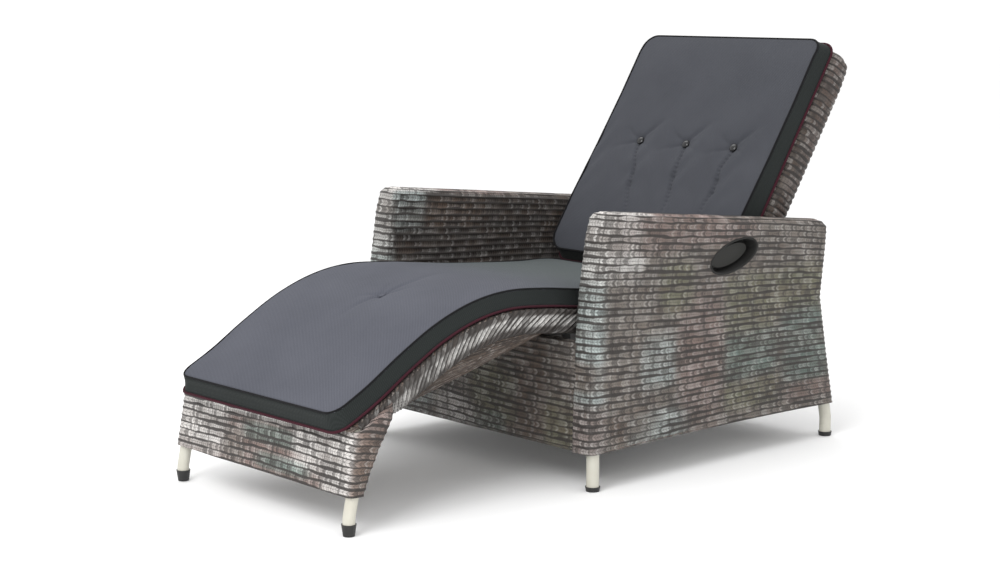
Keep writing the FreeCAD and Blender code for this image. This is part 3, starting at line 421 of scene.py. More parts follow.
class Finish:
    """All finishes of the lounger, made once."""

    def __init__(self) -> None:
        """Make every material."""
        self.arm = Strand("arm_strand").material()
        self.back = Strand("back_strand", 0.0165, 0.0080, 0.30, 0.98, 0.45, 0.55, 0.0, 0.0).material()
        self.rim = Strand("rim_strand", 0.0125, 0.020, 0.0, 0.97, 0.35, 0.30, 0.75, 0.0).material()
        self.edge = Strand("edge_strand", 0.0135, 0.016, 0.2, 0.8, 0.5, 0.6, 0.8, 0.0).material()
        self.seat = OutdoorCloth(
            "seat_cloth", (0.108, 0.112, 0.134), (0.052, 0.055, 0.068), tint=(0.078, 0.092, 0.088), tinted=0.75
        ).material()
        self.back_cloth = OutdoorCloth(
            "back_cloth", (0.074, 0.077, 0.088), (0.036, 0.038, 0.045), tilt=-BACK_LEAN
        ).material()
        self.band = OutdoorCloth("band_cloth", (0.026, 0.029, 0.029), (0.014, 0.017, 0.016)).material()
        self.black_piping = OutdoorCloth("black_piping", (0.012, 0.012, 0.013), (0.006, 0.006, 0.007), 0.002).material()
        self.maroon_piping = OutdoorCloth("maroon_piping", (0.060, 0.014, 0.022), (0.026, 0.008, 0.012), 0.002).material()
        self.cream = Moulded("cream_coat", (0.50, 0.49, 0.425), (0.46, 0.44, 0.375), 0.38).material()
        self.dark_coat = Moulded("dark_coat", (0.024, 0.021, 0.019), (0.036, 0.032, 0.029), 0.5).material()
        self.black = Moulded("black_plastic", (0.008, 0.008, 0.008), (0.014, 0.014, 0.013), 0.45).material()
        self.paddle = Moulded("paddle_plastic", (0.015, 0.015, 0.013), (0.019, 0.019, 0.017), 0.75).material()
        self.cup = Moulded("cup_plastic", (0.009, 0.009, 0.008), (0.013, 0.013, 0.012), 0.85).material()
        self.steel = Moulded("zinc_steel", (0.50, 0.50, 0.51), (0.40, 0.40, 0.41), 0.32, 1.0, 900.0).material()
        self.button = Moulded("button_gloss", (0.010, 0.010, 0.011), (0.016, 0.016, 0.017), 0.16).material()


# ------------------------------------------------------------------ mesh helpers
def add_mesh(
    name: str, points: np.ndarray, faces: np.ndarray, cloth: np.ndarray | None = None, tone: np.ndarray | None = None
) -> bpy.types.Object:
    """Put arrays into a mesh object at the origin.

    Args:
        name: the piece's name.
        points: vertices, one row each.
        faces: quads as rows of four vertex numbers.
        cloth: map coordinates per face corner, in metres, or None.
        tone: a colour per vertex, or None.

    Returns:
        The new object, smooth shaded.
    """
    mesh = bpy.data.meshes.new(name)
    mesh.vertices.add(len(points))
    mesh.vertices.foreach_set("co", np.ascontiguousarray(points, dtype=np.float32).ravel())
    mesh.loops.add(faces.size)
    mesh.loops.foreach_set("vertex_index", np.ascontiguousarray(faces, dtype=np.int32).ravel())
    mesh.polygons.add(len(faces))
    mesh.polygons.foreach_set("loop_start", np.arange(0, faces.size, 4, dtype=np.int32))
    mesh.polygons.foreach_set("use_smooth", np.ones(len(faces), dtype=bool))
    if cloth is not None:
        layer = mesh.uv_layers.new(name="cloth")
        layer.data.foreach_set("uv", np.ascontiguousarray(cloth, dtype=np.float32).ravel())
    if tone is not None:
        colours = np.ones((len(points), 4), dtype=np.float32)
        colours[:, :3] = tone
        mesh.color_attributes.new("tone", "FLOAT_COLOR", "POINT").data.foreach_set("color", colours.ravel())
    mesh.update(calc_edges=True)
    mesh.validate()
    piece = bpy.data.objects.new(name, mesh)
    bpy.context.scene.collection.objects.link(piece)
    return piece


def grid_faces(rows: int, columns: int, wrap_rows: bool, wrap_columns: bool) -> np.ndarray:
    """Quads of a grid of vertices numbered row by row.

    Args:
        rows: count of rows.
        columns: count of columns.
        wrap_rows: whether the last row joins the first.
        wrap_columns: whether the last column joins the first.

    Returns:
        One row of four numbers per quad.
    """
    row = np.arange(rows if wrap_rows else rows - 1)[:, None]
    column = np.arange(columns if wrap_columns else columns - 1)[None, :]
    next_row = (row + 1) % rows
    next_column = (column + 1) % columns
    corners = [
        row * columns + column, row * columns + next_column,
        next_row * columns + next_column, next_row * columns + column,
    ]
    return np.stack([np.broadcast_to(c, (row.size, column.size)) for c in corners], axis=-1).reshape(-1, 4)


def steps_along(points: np.ndarray, axis: int) -> np.ndarray:
    """Running length of each grid line along one axis, starting from 0."""
    gaps = np.linalg.norm(np.diff(points, axis=axis), axis=-1)
    shape = list(gaps.shape)
    shape[axis] = 1
    return np.concatenate([np.zeros(shape), np.cumsum(gaps, axis=axis)], axis=axis)


def grid_normals(points: np.ndarray, wrap_rows: bool, wrap_columns: bool) -> np.ndarray:
    """Unit normals of a grid: the cross product of its two central differences.

    Args:
        points: grid of vertices, rows by columns.
        wrap_rows: whether rows close on themselves.
        wrap_columns: whether columns close on themselves.

    Returns:
        An array of the same shape.
    """

    def difference(axis: int, wrap: bool) -> np.ndarray:
        """Central difference, or one-sided at an open end."""
        if wrap:
            return np.roll(points, -1, axis) - np.roll(points, 1, axis)
        return np.gradient(points, axis=axis)

    normal = np.cross(difference(1, wrap_columns), difference(0, wrap_rows))
    return normal / np.maximum(np.linalg.norm(normal, axis=-1, keepdims=True), 1e-9)


def smooth_step(value: np.ndarray, low: float, high: float) -> np.ndarray:
    """0 below low, 1 above high, and a cubic between them."""
    share = np.clip((value - low) / (high - low), 0.0, 1.0)
    return share * share * (3.0 - 2.0 * share)


def soft_noise(points: np.ndarray, scale: float, seed: float) -> np.ndarray:
    """A smooth field from -1 to 1: the mean of five plane waves in fixed directions."""
    total = np.zeros(points.shape[:-1])
    for index in range(5):
        angle = seed + index * 2.399963
        direction = np.array([math.cos(angle), math.sin(angle * 1.7), math.sin(angle)])
        total += np.sin(points @ direction * scale * (1.0 + 0.31 * index) + seed * 3.1 * index)
    return total / 5.0


def mottle(points: np.ndarray, coarse: tuple, fine: tuple, most: float = 1.5) -> np.ndarray:
    """Uneven brightness of a woven face.

    Args:
        points: the face's points.
        coarse: the slower noise as (strength, scale, seed).
        fine: the quicker noise, in the same way.
        most: the upper limit.

    Returns:
        A factor near 1 per point, to multiply a colour by.
    """
    total = 1.0
    for strength, scale, seed in (coarse, fine):
        total = total + strength * soft_noise(points, scale, seed)
    return np.clip(total, 0.45, most)[..., None]


def bell(value: np.ndarray, width: float | np.ndarray) -> np.ndarray:
    """1 at 0, falling to a third at the width and soon to nothing."""
    return np.exp(-((value / width) ** 2))


def side_word(side: int) -> str:
    """The name of a side: left at +X, where the release lever is, and right at -X."""
    return "left" if side > 0 else "right"


def vertex_array(mesh: bpy.types.Mesh) -> np.ndarray:
    """A mesh's vertices, one row each."""
    points = np.empty(len(mesh.vertices) * 3)
    mesh.vertices.foreach_get("co", points)
    return points.reshape(-1, 3)


def move_vertices(mesh: bpy.types.Mesh, points: np.ndarray) -> None:
    """Put a mesh's vertices at new places."""
    mesh.vertices.foreach_set("co", points.astype(np.float32).ravel())
    mesh.update()


@dataclass
class Weaver:
    """Turns a grid of points into a woven wall with raised rows of strand."""

    row: float = 0.0146
    depth: float = 0.0018
    twist: float = 0.0
    bend: float = 0.007

    def relief(self, along: np.ndarray, across: np.ndarray) -> np.ndarray:
        """Height of the strand: a half wave over each row."""
        return self.depth * (np.abs(np.sin(math.pi * (across + along * self.twist) / self.row)) - 0.5)

    def weave(
        self, name: str, points: np.ndarray, tone: np.ndarray, wrap_rows: bool = False, wrap_columns: bool = False,
        keep: np.ndarray | None = None, swap: bool = False,
    ) -> bpy.types.Object:
        """Build the wall.

        Args:
            name: the piece's name.
            points: grid of vertices, rows by columns; strands run along the columns' index.
            tone: a colour per grid point.
            wrap_rows: whether rows close on themselves.
            wrap_columns: whether columns close on themselves.
            keep: a mask of quads to keep, or None.
            swap: whether the faces are turned over.

        Returns:
            The woven piece.
        """
        rows, columns = points.shape[:2]
        closed = points if not wrap_columns else np.concatenate([points, points[:, :1]], axis=1)
        along = steps_along(closed, 1).mean(axis=0, keepdims=True)
        along = np.repeat(along, rows, axis=0)
        tall = points if not wrap_rows else np.concatenate([points, points[:1]], axis=0)
        across = steps_along(tall, 0)
        across = across.mean(axis=1, keepdims=True) if wrap_columns else across
        across = np.broadcast_to(across, (across.shape[0], columns)) + self.bend * soft_noise(tall, 6.0, 1.7)
        normal = grid_normals(points, wrap_rows, wrap_columns)
        if swap:
            normal = -normal
        raised = points + normal * self.relief(along[:, :columns], across[:rows])[..., None]
        faces = grid_faces(rows, columns, wrap_rows, wrap_columns)
        along_full = along if wrap_columns else np.concatenate([along, along[:, -1:]], axis=1)
        across_full = across if wrap_rows else np.concatenate([across, across[-1:]], axis=0)
        row_index = np.repeat(np.arange(rows if wrap_rows else rows - 1), columns if wrap_columns else columns - 1)
        column_index = np.tile(np.arange(columns if wrap_columns else columns - 1), rows if wrap_rows else rows - 1)
        cloth = np.stack(
            [
                np.stack([along_full[0, column_index + dc], across_full[row_index + dr, column_index % columns]], axis=-1)
                for dr, dc in QUAD_CORNERS
            ],
            axis=1,
        )
        if keep is not None:
            chosen = keep.reshape(-1)
            faces = faces[chosen]
            cloth = cloth[chosen]
        if swap:
            faces = faces[:, ::-1]
            cloth = cloth[:, ::-1]
        return add_mesh(name, raised.reshape(-1, 3), faces, cloth, tone.reshape(-1, 3))


def tube(name: str, path: np.ndarray, radius: float, closed: bool, sides: int = 10) -> bpy.types.Object:
    """A round cord along a line of points: a circle carried along it square to its direction.

    Args:
        name: the piece's name.
        path: points along the line.
        radius: the cord's radius.
        closed: whether the line is a loop.
        sides: corners of the circle.

    Returns:
        The cord as a mesh, with rounded ends drawn in to a point where it is open.
    """
    if closed:
        ahead = np.roll(path, -1, 0) - np.roll(path, 1, 0)
    else:
        ahead = np.gradient(path, axis=0)
    ahead /= np.linalg.norm(ahead, axis=1, keepdims=True)
    guide = np.array([0.31, 0.17, 0.93])
    side = np.cross(ahead, guide)
    side /= np.linalg.norm(side, axis=1, keepdims=True)
    other = np.cross(ahead, side)
    angle = np.linspace(0, math.tau, sides, endpoint=False)
    size = np.full(len(path), radius)
    if not closed:
        size[[0, -1]] = radius * 0.05
    ring = np.cos(angle)[None, :, None] * side[:, None] + np.sin(angle)[None, :, None] * other[:, None]
    points = path[:, None] + ring * size[:, None, None]
    faces = grid_faces(len(path), sides, closed, True)[:, ::-1]
    along = steps_along(np.concatenate([path, path[:1]]) if closed else path, 0)
    row = np.repeat(np.arange(len(path) if closed else len(path) - 1), sides)
    column = np.tile(np.arange(sides), len(path) if closed else len(path) - 1)
    width = math.tau * radius / sides
    cloth = np.stack(
        [np.stack([along[row + dr], (column + dc) * width], axis=-1) for dr, dc in QUAD_CORNERS], axis=1
    )[:, ::-1]
    tone = np.broadcast_to(np.array(Shade.BROWN.value), (points.shape[0] * sides, 3))
    return add_mesh(name, points.reshape(-1, 3), faces, cloth, tone)


def remesh(form: bpy.types.Object, size: float) -> None:
    """Rebuild a closed form with voxels of one size, so that its quads are even."""
    apply_modifier(form, "REMESH", mode="VOXEL", voxel_size=size, use_smooth_shade=True)


def subdivide(form: bpy.types.Object) -> None:
    """Round a form off with one Catmull-Clark subdivision."""
    apply_modifier(form, "SUBSURF", levels=1, render_levels=1)


def apply_modifier(form: bpy.types.Object, kind: str, **options: object) -> None:
    """Add a modifier, set its options and keep its result as the mesh.

    Args:
        form: the object.
        kind: the modifier's type.
        options: values of its properties.
    """
    modifier = form.modifiers.new(kind.lower(), kind)
    for key, value in options.items():
        setattr(modifier, key, value)
    shaped = form.evaluated_get(bpy.context.evaluated_depsgraph_get())
    mesh = bpy.data.meshes.new_from_object(shaped)
    form.modifiers.clear()
    old = form.data
    form.data = mesh
    mesh.name = form.name
    bpy.data.meshes.remove(old)


def close_form(form: bpy.types.Object) -> None:
    """Cap the open loops of a form and make its normals point outward."""
    shape = bmesh.new()
    shape.from_mesh(form.data)
    open_edges = [edge for edge in shape.edges if edge.is_boundary]
    bmesh.ops.holes_fill(shape, edges=open_edges, sides=0)
    bmesh.ops.recalc_face_normals(shape, faces=shape.faces)
    shape.to_mesh(form.data)
    shape.free()


def dress(piece: bpy.types.Object, material: bpy.types.Material, body: Body, slot: str, *nodes: str) -> bpy.types.Object:
    """Give a piece its finish, its body and the CAD nodes that it stands for.

    Args:
        piece: the piece.
        material: its finish.
        body: the body that it rides on.
        slot: not used.
        nodes: the CAD nodes that it replaces.

    Returns:
        The same piece.
    """
    piece.data.materials.clear()
    piece.data.materials.append(material)
    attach(piece, body.value)
    if nodes:
        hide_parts(*nodes)
    log.info("%s: %d vertices on %s", piece.name, len(piece.data.vertices), body.value)
    return piece


# ------------------------------------------------------------------ shape tools
def loop_table(long_steps: int, corner_steps: int, short_steps: int) -> np.ndarray:
    """Shares that place the points of a rounded rectangle.

    Args:
        long_steps: points on each long side.
        corner_steps: points on each corner arc.
        short_steps: points on each short side.

    Returns:
        Rows of (share of the length, radii added along, share of the half width, radii added across),
        so that a point is low + length * first + radius * second, half * third + radius * fourth.
    """
    long_share = np.linspace(0, 1, long_steps, endpoint=False)
    short_share = np.linspace(0, 1, short_steps, endpoint=False)
    zero_long, zero_short = np.zeros(long_steps), np.zeros(short_steps)
    parts = []

    def corner(first_angle: float, end: float, side: float) -> None:
        """Add one quarter turn at an end and a side."""
        angle = np.radians(np.linspace(first_angle, first_angle + 90, corner_steps, endpoint=False))
        same = np.ones(corner_steps)
        parts.append(np.stack([same * end, (1 - 2 * end) + np.cos(angle), same * side, -side + np.sin(angle)], axis=1))

    parts.append(np.stack([long_share, 1 - 2 * long_share, zero_long - 1, zero_long], axis=1))
    corner(-90, 1.0, -1.0)
    parts.append(np.stack([zero_short + 1, zero_short, 2 * short_share - 1, 1 - 2 * short_share], axis=1))
    corner(0, 1.0, 1.0)
    parts.append(np.stack([1 - long_share, 2 * long_share - 1, zero_long + 1, zero_long], axis=1))
    corner(90, 0.0, 1.0)
    parts.append(np.stack([zero_short, zero_short, 1 - 2 * short_share, 2 * short_share - 1], axis=1))
    corner(180, 0.0, -1.0)
    return np.concatenate(parts)


def place_loop(table: np.ndarray, low: np.ndarray, high: np.ndarray, half: np.ndarray, corner: float) -> tuple:
    """Points of rounded rectangles, one loop per row.

    Args:
        table: what loop_table gives.
        low: each row's low end.
        high: each row's high end.
        half: each row's half width.
        corner: corner radius, limited by the half width.

    Returns:
        Two arrays, along and across, rows by points.
    """
    radius = np.minimum(corner, np.maximum(half * 0.98, 1e-5))[:, None]
    along = low[:, None] + (high - low)[:, None] * table[:, 0] + radius * table[:, 1]
    across = half[:, None] * table[:, 2] + radius * table[:, 3]
    return along, across


def cap_ends(grid: np.ndarray) -> np.ndarray:
    """Close both ends of a band whose rows go round its section: each end's loop is drawn in to its middle."""
    ends = []
    for edge in (grid[:, :1], grid[:, -1:]):
        middle = edge.mean(axis=0, keepdims=True)
        ends.append([middle + (edge - middle) * share for share in (0.02, 0.5)])
    return np.concatenate([*ends[0], grid, *ends[1][::-1]], axis=1)


def on_back(points: np.ndarray) -> np.ndarray:
    """Points of the upright back frame (x, rearward, up from the hinge) turned to the lean at rest."""
    cosine, sine = math.cos(BACK_LEAN), math.sin(BACK_LEAN)
    lean = np.array([[1, 0, 0], [0, cosine, -sine], [0, sine, cosine]])
    return points @ lean + np.array([0.0, HINGE_Y, HINGE_Z])


def patchwork(along: np.ndarray, up: np.ndarray, base: Shade, spots: list) -> np.ndarray:
    """A colour field: each spot's colour weighs as a flat-topped bell over its centre, and the base fills the rest.

    Args:
        along: first coordinate of each point.
        up: second coordinate.
        base: the colour between the spots.
        spots: rows of (centre along, centre up, reach along, reach up, shade).

    Returns:
        A colour per point.
    """
    total = np.full(along.shape, 0.55)
    colour = np.array(base.value) * total[..., None]
    for centre_along, centre_up, reach_along, reach_up, shade in spots:
        weight = 2.3 * np.exp(-(((along - centre_along) / reach_along) ** 6) - ((up - centre_up) / reach_up) ** 4)
        total = total + weight
        colour = colour + weight[..., None] * np.array(shade.value)
    return colour / total[..., None]


@dataclass
class DeckLine:
    """The curve that the deck and the seat cushion follow, from the foot end to the rear."""

    stations: tuple = (
        (-0.790, 0.194), (-0.682, 0.250), (-0.592, 0.306), (-0.502, 0.355), (-0.412, 0.387), (-0.322, 0.400),
        (-0.222, 0.395), (-0.102, 0.381), (0.038, 0.368), (0.178, 0.358), (0.338, 0.354),
    )
    fine: np.ndarray = field(init=False)

    def __post_init__(self) -> None:
        """Pass a Catmull-Rom curve through the stations and sample it closely."""
        knots = np.array(self.stations)
        knots = np.concatenate([[2 * knots[0] - knots[1]], knots, [2 * knots[-1] - knots[-2]]])
        share = np.linspace(0, 1, 40, endpoint=False)[:, None]
        before, first, second, after = (knots[k : len(knots) - 3 + k, None] for k in range(4))
        curve = 0.5 * (
            2 * first
            + (second - before) * share
            + (2 * before - 5 * first + 4 * second - after) * share**2
            + (3 * first - before - 3 * second + after) * share**3
        )
        self.fine = curve.reshape(-1, 2)

    def at(self, y: np.ndarray) -> tuple:
        """Points on the line and its upward normals.

        Args:
            y: stations along Y.

        Returns:
            Heights, and normals as (y, z) pairs.
        """
        z = np.interp(y, self.fine[:, 0], self.fine[:, 1])
        slope = np.gradient(self.fine[:, 1], self.fine[:, 0])
        tilt = np.interp(y, self.fine[:, 0], slope)
        length = np.sqrt(1 + tilt**2)
        return z, np.stack([-tilt / length, 1 / length], axis=-1)

    def lifted(self, x: np.ndarray, y: np.ndarray, lift: np.ndarray) -> np.ndarray:
        """Points at a distance over the line: the line's point plus the lift along its normal."""
        z, normal = self.at(y)
        return np.stack([x + 0 * y, y + normal[..., 0] * lift, z + normal[..., 1] * lift], axis=-1)


DECK = DeckLine()


# ------------------------------------------------------------------ arms
@dataclass
class Arm:
    """One woven arm: loops round a flat box, rounded over its top, with a lip turned in below."""

    side: int
    inner: float = 0.324
    outer: float = 0.392
    base: float = 0.083
    top_front: float = 0.600
    top_rear: float = 0.529
    crown: float = 0.021
    corner: float = 0.019
    cup: tuple = (0.266, 0.474)
    cup_half: tuple = (0.080, 0.033)
    cup_tilt: float = math.radians(14)
    slope_start: float = -0.116
    slope_length: float = 0.711
    edge_start: float = -0.188
    edge_length: float = 0.834
    edge_arch: float = 0.005

    def top_line(self, y: np.ndarray) -> np.ndarray:
        """Height of the arm's top, which falls evenly to the rear."""
        return self.top_front + (self.top_rear - self.top_front) * (y - self.slope_start) / self.slope_length

    def lower_edge(self, y: np.ndarray) -> np.ndarray:
        """Height of the arm's lower edge, a shallow arch."""
        return self.base + self.edge_arch * np.sin(math.pi * np.clip((y - self.edge_start) / self.edge_length, 0, 1))

    def profile(self) -> tuple:
        """Rows from the lip inside, down to the edge, up the side, over the crown and in to the middle.

        Returns:
            Arrays of the inset, the share of the side's height and the rise over the crown's foot.
        """
        side_rows = 205
        inset = [np.full(6, 0.006), np.array([0.004, 0.001]), np.zeros(side_rows)]
        share = [np.linspace(0.05, 0.004, 6), np.array([0.0, 0.0]), np.linspace(0.0, 1.0, side_rows)]
        rise = [np.zeros(8), np.zeros(side_rows)]
        turn = np.radians(np.linspace(6, 90, 12))
        inset.append(self.crown * (1 - np.cos(turn)))
        share.append(np.ones(12))
        rise.append(self.crown * np.sin(turn))
        flat = np.linspace(self.crown + 0.002, (self.outer - self.inner) / 2 - 0.0004, 6)
        inset.append(flat)
        share.append(np.ones(6))
        rise.append(np.full(6, self.crown))
        return np.concatenate(inset), np.concatenate(share), np.concatenate(rise)

    def points(self) -> np.ndarray:
        """The arm's grid, one rounded loop per row of its profile."""
        inset, share, rise = self.profile()
        front = np.interp(share, [0, 0.18, 0.42, 0.68, 0.93, 1.0], [-0.188, -0.186, -0.183, -0.171, -0.152, -0.141])
        rear = np.interp(share, [0, 0.3, 0.62, 0.9, 1.0], [0.646, 0.617, 0.589, 0.604, 0.607])
        half = (self.outer - self.inner) / 2 - inset
        table = loop_table(158, 7, 8)
        along, across = place_loop(table, front + inset, rear - inset, half, self.corner)
        edge = self.lower_edge(along)
        height = edge + (self.top_line(along) - self.crown - edge) * share[:, None] + rise[:, None]
        middle = (self.outer + self.inner) / 2
        return np.stack([self.side * (middle + across), along, height], axis=-1)

    def tones(self, grid: np.ndarray) -> np.ndarray:
        """Colours of the arm's faces: mixed outside, pale in front, dark inside, warm on top."""
        x = np.abs(grid[..., 0])
        y, z = grid[..., 1], grid[..., 2]
        outside = patchwork(y, z, Shade.GREY, [
            (-0.09, 0.53, 0.055, 0.07, Shade.WHITE), (-0.13, 0.40, 0.04, 0.07, Shade.GREY),
            (-0.06, 0.13, 0.06, 0.03, Shade.BROWN), (0.02, 0.26, 0.05, 0.05, Shade.PALE_BLUE),
            (0.02, 0.12, 0.09, 0.03, Shade.PALE_BLUE), (0.16, 0.25, 0.07, 0.13, Shade.PINK_BROWN),
            (0.10, 0.55, 0.22, 0.04, Shade.PINK_BROWN), (0.08, 0.42, 0.05, 0.05, Shade.OLIVE),
            (0.33, 0.24, 0.085, 0.05, Shade.TEAL), (0.33, 0.36, 0.085, 0.06, Shade.OLIVE),
            (0.33, 0.15, 0.085, 0.03, Shade.OLIVE), (0.50, 0.38, 0.08, 0.05, Shade.OLIVE),
            (0.51, 0.29, 0.07, 0.04, Shade.TEAL), (0.53, 0.20, 0.08, 0.04, Shade.TEAL),
            (0.56, 0.13, 0.09, 0.02, Shade.PINK_BROWN), (0.48, 0.50, 0.10, 0.05, Shade.GREY),
        ])
        front = patchwork(x, z, Shade.PALE_BLUE, [
            (0.36, 0.53, 0.05, 0.08, Shade.WHITE), (0.36, 0.38, 0.05, 0.07, Shade.PALE_BLUE),
            (0.35, 0.25, 0.04, 0.03, Shade.BROWN), (0.36, 0.13, 0.05, 0.05, Shade.PINK_BROWN),
        ])
        inside = patchwork(y, z, Shade.DARK, [
            (-0.10, 0.56, 0.05, 0.05, Shade.PALE_BLUE), (0.06, 0.53, 0.09, 0.03, Shade.BROWN),
            (0.30, 0.51, 0.14, 0.03, Shade.DARK), (0.50, 0.48, 0.12, 0.03, Shade.BROWN),
        ])
        crown = 1.6 * patchwork(y, z, Shade.PINK_BROWN, [
            (-0.08, 0.60, 0.08, 0.1, Shade.WHITE), (0.4, 0.56, 0.15, 0.1, Shade.GREY),
        ])
        to_front = smooth_step(-y, 0.128, 0.165)[..., None]
        to_inside = smooth_step(-x, -0.338, -0.328)[..., None]
        to_top = smooth_step(z - self.top_line(y), -0.010, -0.001)[..., None]
        tone = outside * (1 - to_inside) + inside * to_inside
        tone = tone * (1 - to_front) + front * to_front
        tone = tone * (1 - to_top) + crown * to_top
        return tone * mottle(grid, (0.28, 34.0, 1.3), (0.22, 95.0, 4.1), 1.6)

    def cut_recess(self, grid: np.ndarray) -> tuple:
        """Open the oval for the release lever and draw the nearest points onto its edge.

        Args:
            grid: the arm's grid.

        Returns:
            The grid, and a mask of the quads to keep.
        """
        y = grid[..., 1] - self.cup[0]
        z = grid[..., 2] - self.cup[1]
        along = y * math.cos(self.cup_tilt) + z * math.sin(self.cup_tilt)
        up = z * math.cos(self.cup_tilt) - y * math.sin(self.cup_tilt)
        ratio = np.sqrt((along / self.cup_half[0]) ** 2 + (up / self.cup_half[1]) ** 2)
        facing = grid[..., 0] > self.outer - 0.004
        near = facing & (np.abs(ratio - 1.0) < 0.055)
        pull = np.where(near, 1.0 / np.maximum(ratio, 0.1), 1.0)
        grid = grid.copy()
        grid[..., 1] = self.cup[0] + y * pull
        grid[..., 2] = self.cup[1] + z * pull
        ratio = np.where(near, 1.0, ratio)
        hole = facing & (ratio < 0.999)
        wrapped = np.concatenate([hole, hole[:, :1]], axis=1)
        bad = wrapped[:-1, :-1] | wrapped[1:, :-1] | wrapped[:-1, 1:] | wrapped[1:, 1:]
        return grid, ~bad

    def rim(self, finish: Finish) -> None:
        """A thin bead round the recess, carried along its oval."""
        steps, gap = 96, 0.0005
        angle = np.linspace(0, math.tau, steps, endpoint=False)
        along = (self.cup_half[0] + gap) * np.cos(angle)
        up = (self.cup_half[1] + gap) * np.sin(angle)
        y = self.cup[0] + along * math.cos(self.cup_tilt) - up * math.sin(self.cup_tilt)
        z = self.cup[1] + along * math.sin(self.cup_tilt) + up * math.cos(self.cup_tilt)
        path = np.stack([np.full(steps, self.outer - 0.0008), y, z], axis=1)
        dress(tube("recess_bead", path, 0.0024, True), finish.cup, Body.BASE, "cup_plastic")

    def build(self, finish: Finish) -> None:
        """Make the arm's wall and, on the lever's side, the bead of its recess."""
        grid = self.points()
        tone = self.tones(grid)
        keep = None
        if self.side > 0:
            grid, keep = self.cut_recess(grid)
        word = side_word(self.side)
        wall = Weaver().weave("woven_arm_" + word, grid, tone, wrap_columns=True, keep=keep, swap=self.side < 0)
        dress(wall, finish.arm, Body.BASE, "weave", "arm_weave_" + word)
        if self.side > 0:
            self.rim(finish)


# ------------------------------------------------------------------ aprons, deck and footrest
@dataclass
class Apron:
    """A woven panel between the arms, its rows running from arm to arm."""

    name: str
    node: str
    foot_y: float
    foot_z: float
    height: float
    tilt: float
    half_width: float = 0.3380
    half_thick: float = 0.0148

    def build(self, finish: Finish) -> None:
        """Carry a rounded rectangle from arm to arm and lean it."""
        table = loop_table(int(self.height / 0.0026), 5, 4)
        up, out = place_loop(table, np.array([0.0]), np.array([self.height]), np.array([self.half_thick]), 0.010)
        x = np.linspace(-self.half_width, self.half_width, 130)[None, :]
        up, out = up[0][:, None], out[0][:, None]
        y = self.foot_y + out * math.cos(self.tilt) - up * math.sin(self.tilt) + 0 * x
        z = self.foot_z + out * math.sin(self.tilt) + up * math.cos(self.tilt) + 0 * x
        grid = cap_ends(np.stack([x + 0 * y, y, z], axis=-1))
        tone = 0.72 * patchwork(grid[..., 0], grid[..., 2], Shade.GREY, [
            (0.20, 0.22, 0.045, 0.14, Shade.BROWN), (0.07, 0.18, 0.07, 0.06, Shade.OLIVE),
            (0.29, 0.13, 0.05, 0.05, Shade.OLIVE), (-0.05, 0.27, 0.12, 0.03, Shade.WHITE),
            (-0.24, 0.15, 0.09, 0.06, Shade.PALE_BLUE), (-0.05, 0.12, 0.06, 0.03, Shade.WHITE),
            (0.06, 0.11, 0.05, 0.02, Shade.TEAL),
        ])
        tone *= mottle(grid, (0.3, 30.0, 2.2), (0.2, 90.0, 0.7))
        wall = Weaver().weave(self.name, grid, tone, wrap_rows=True, swap=True)
        dress(wall, finish.arm, Body.BASE, "weave", self.node)


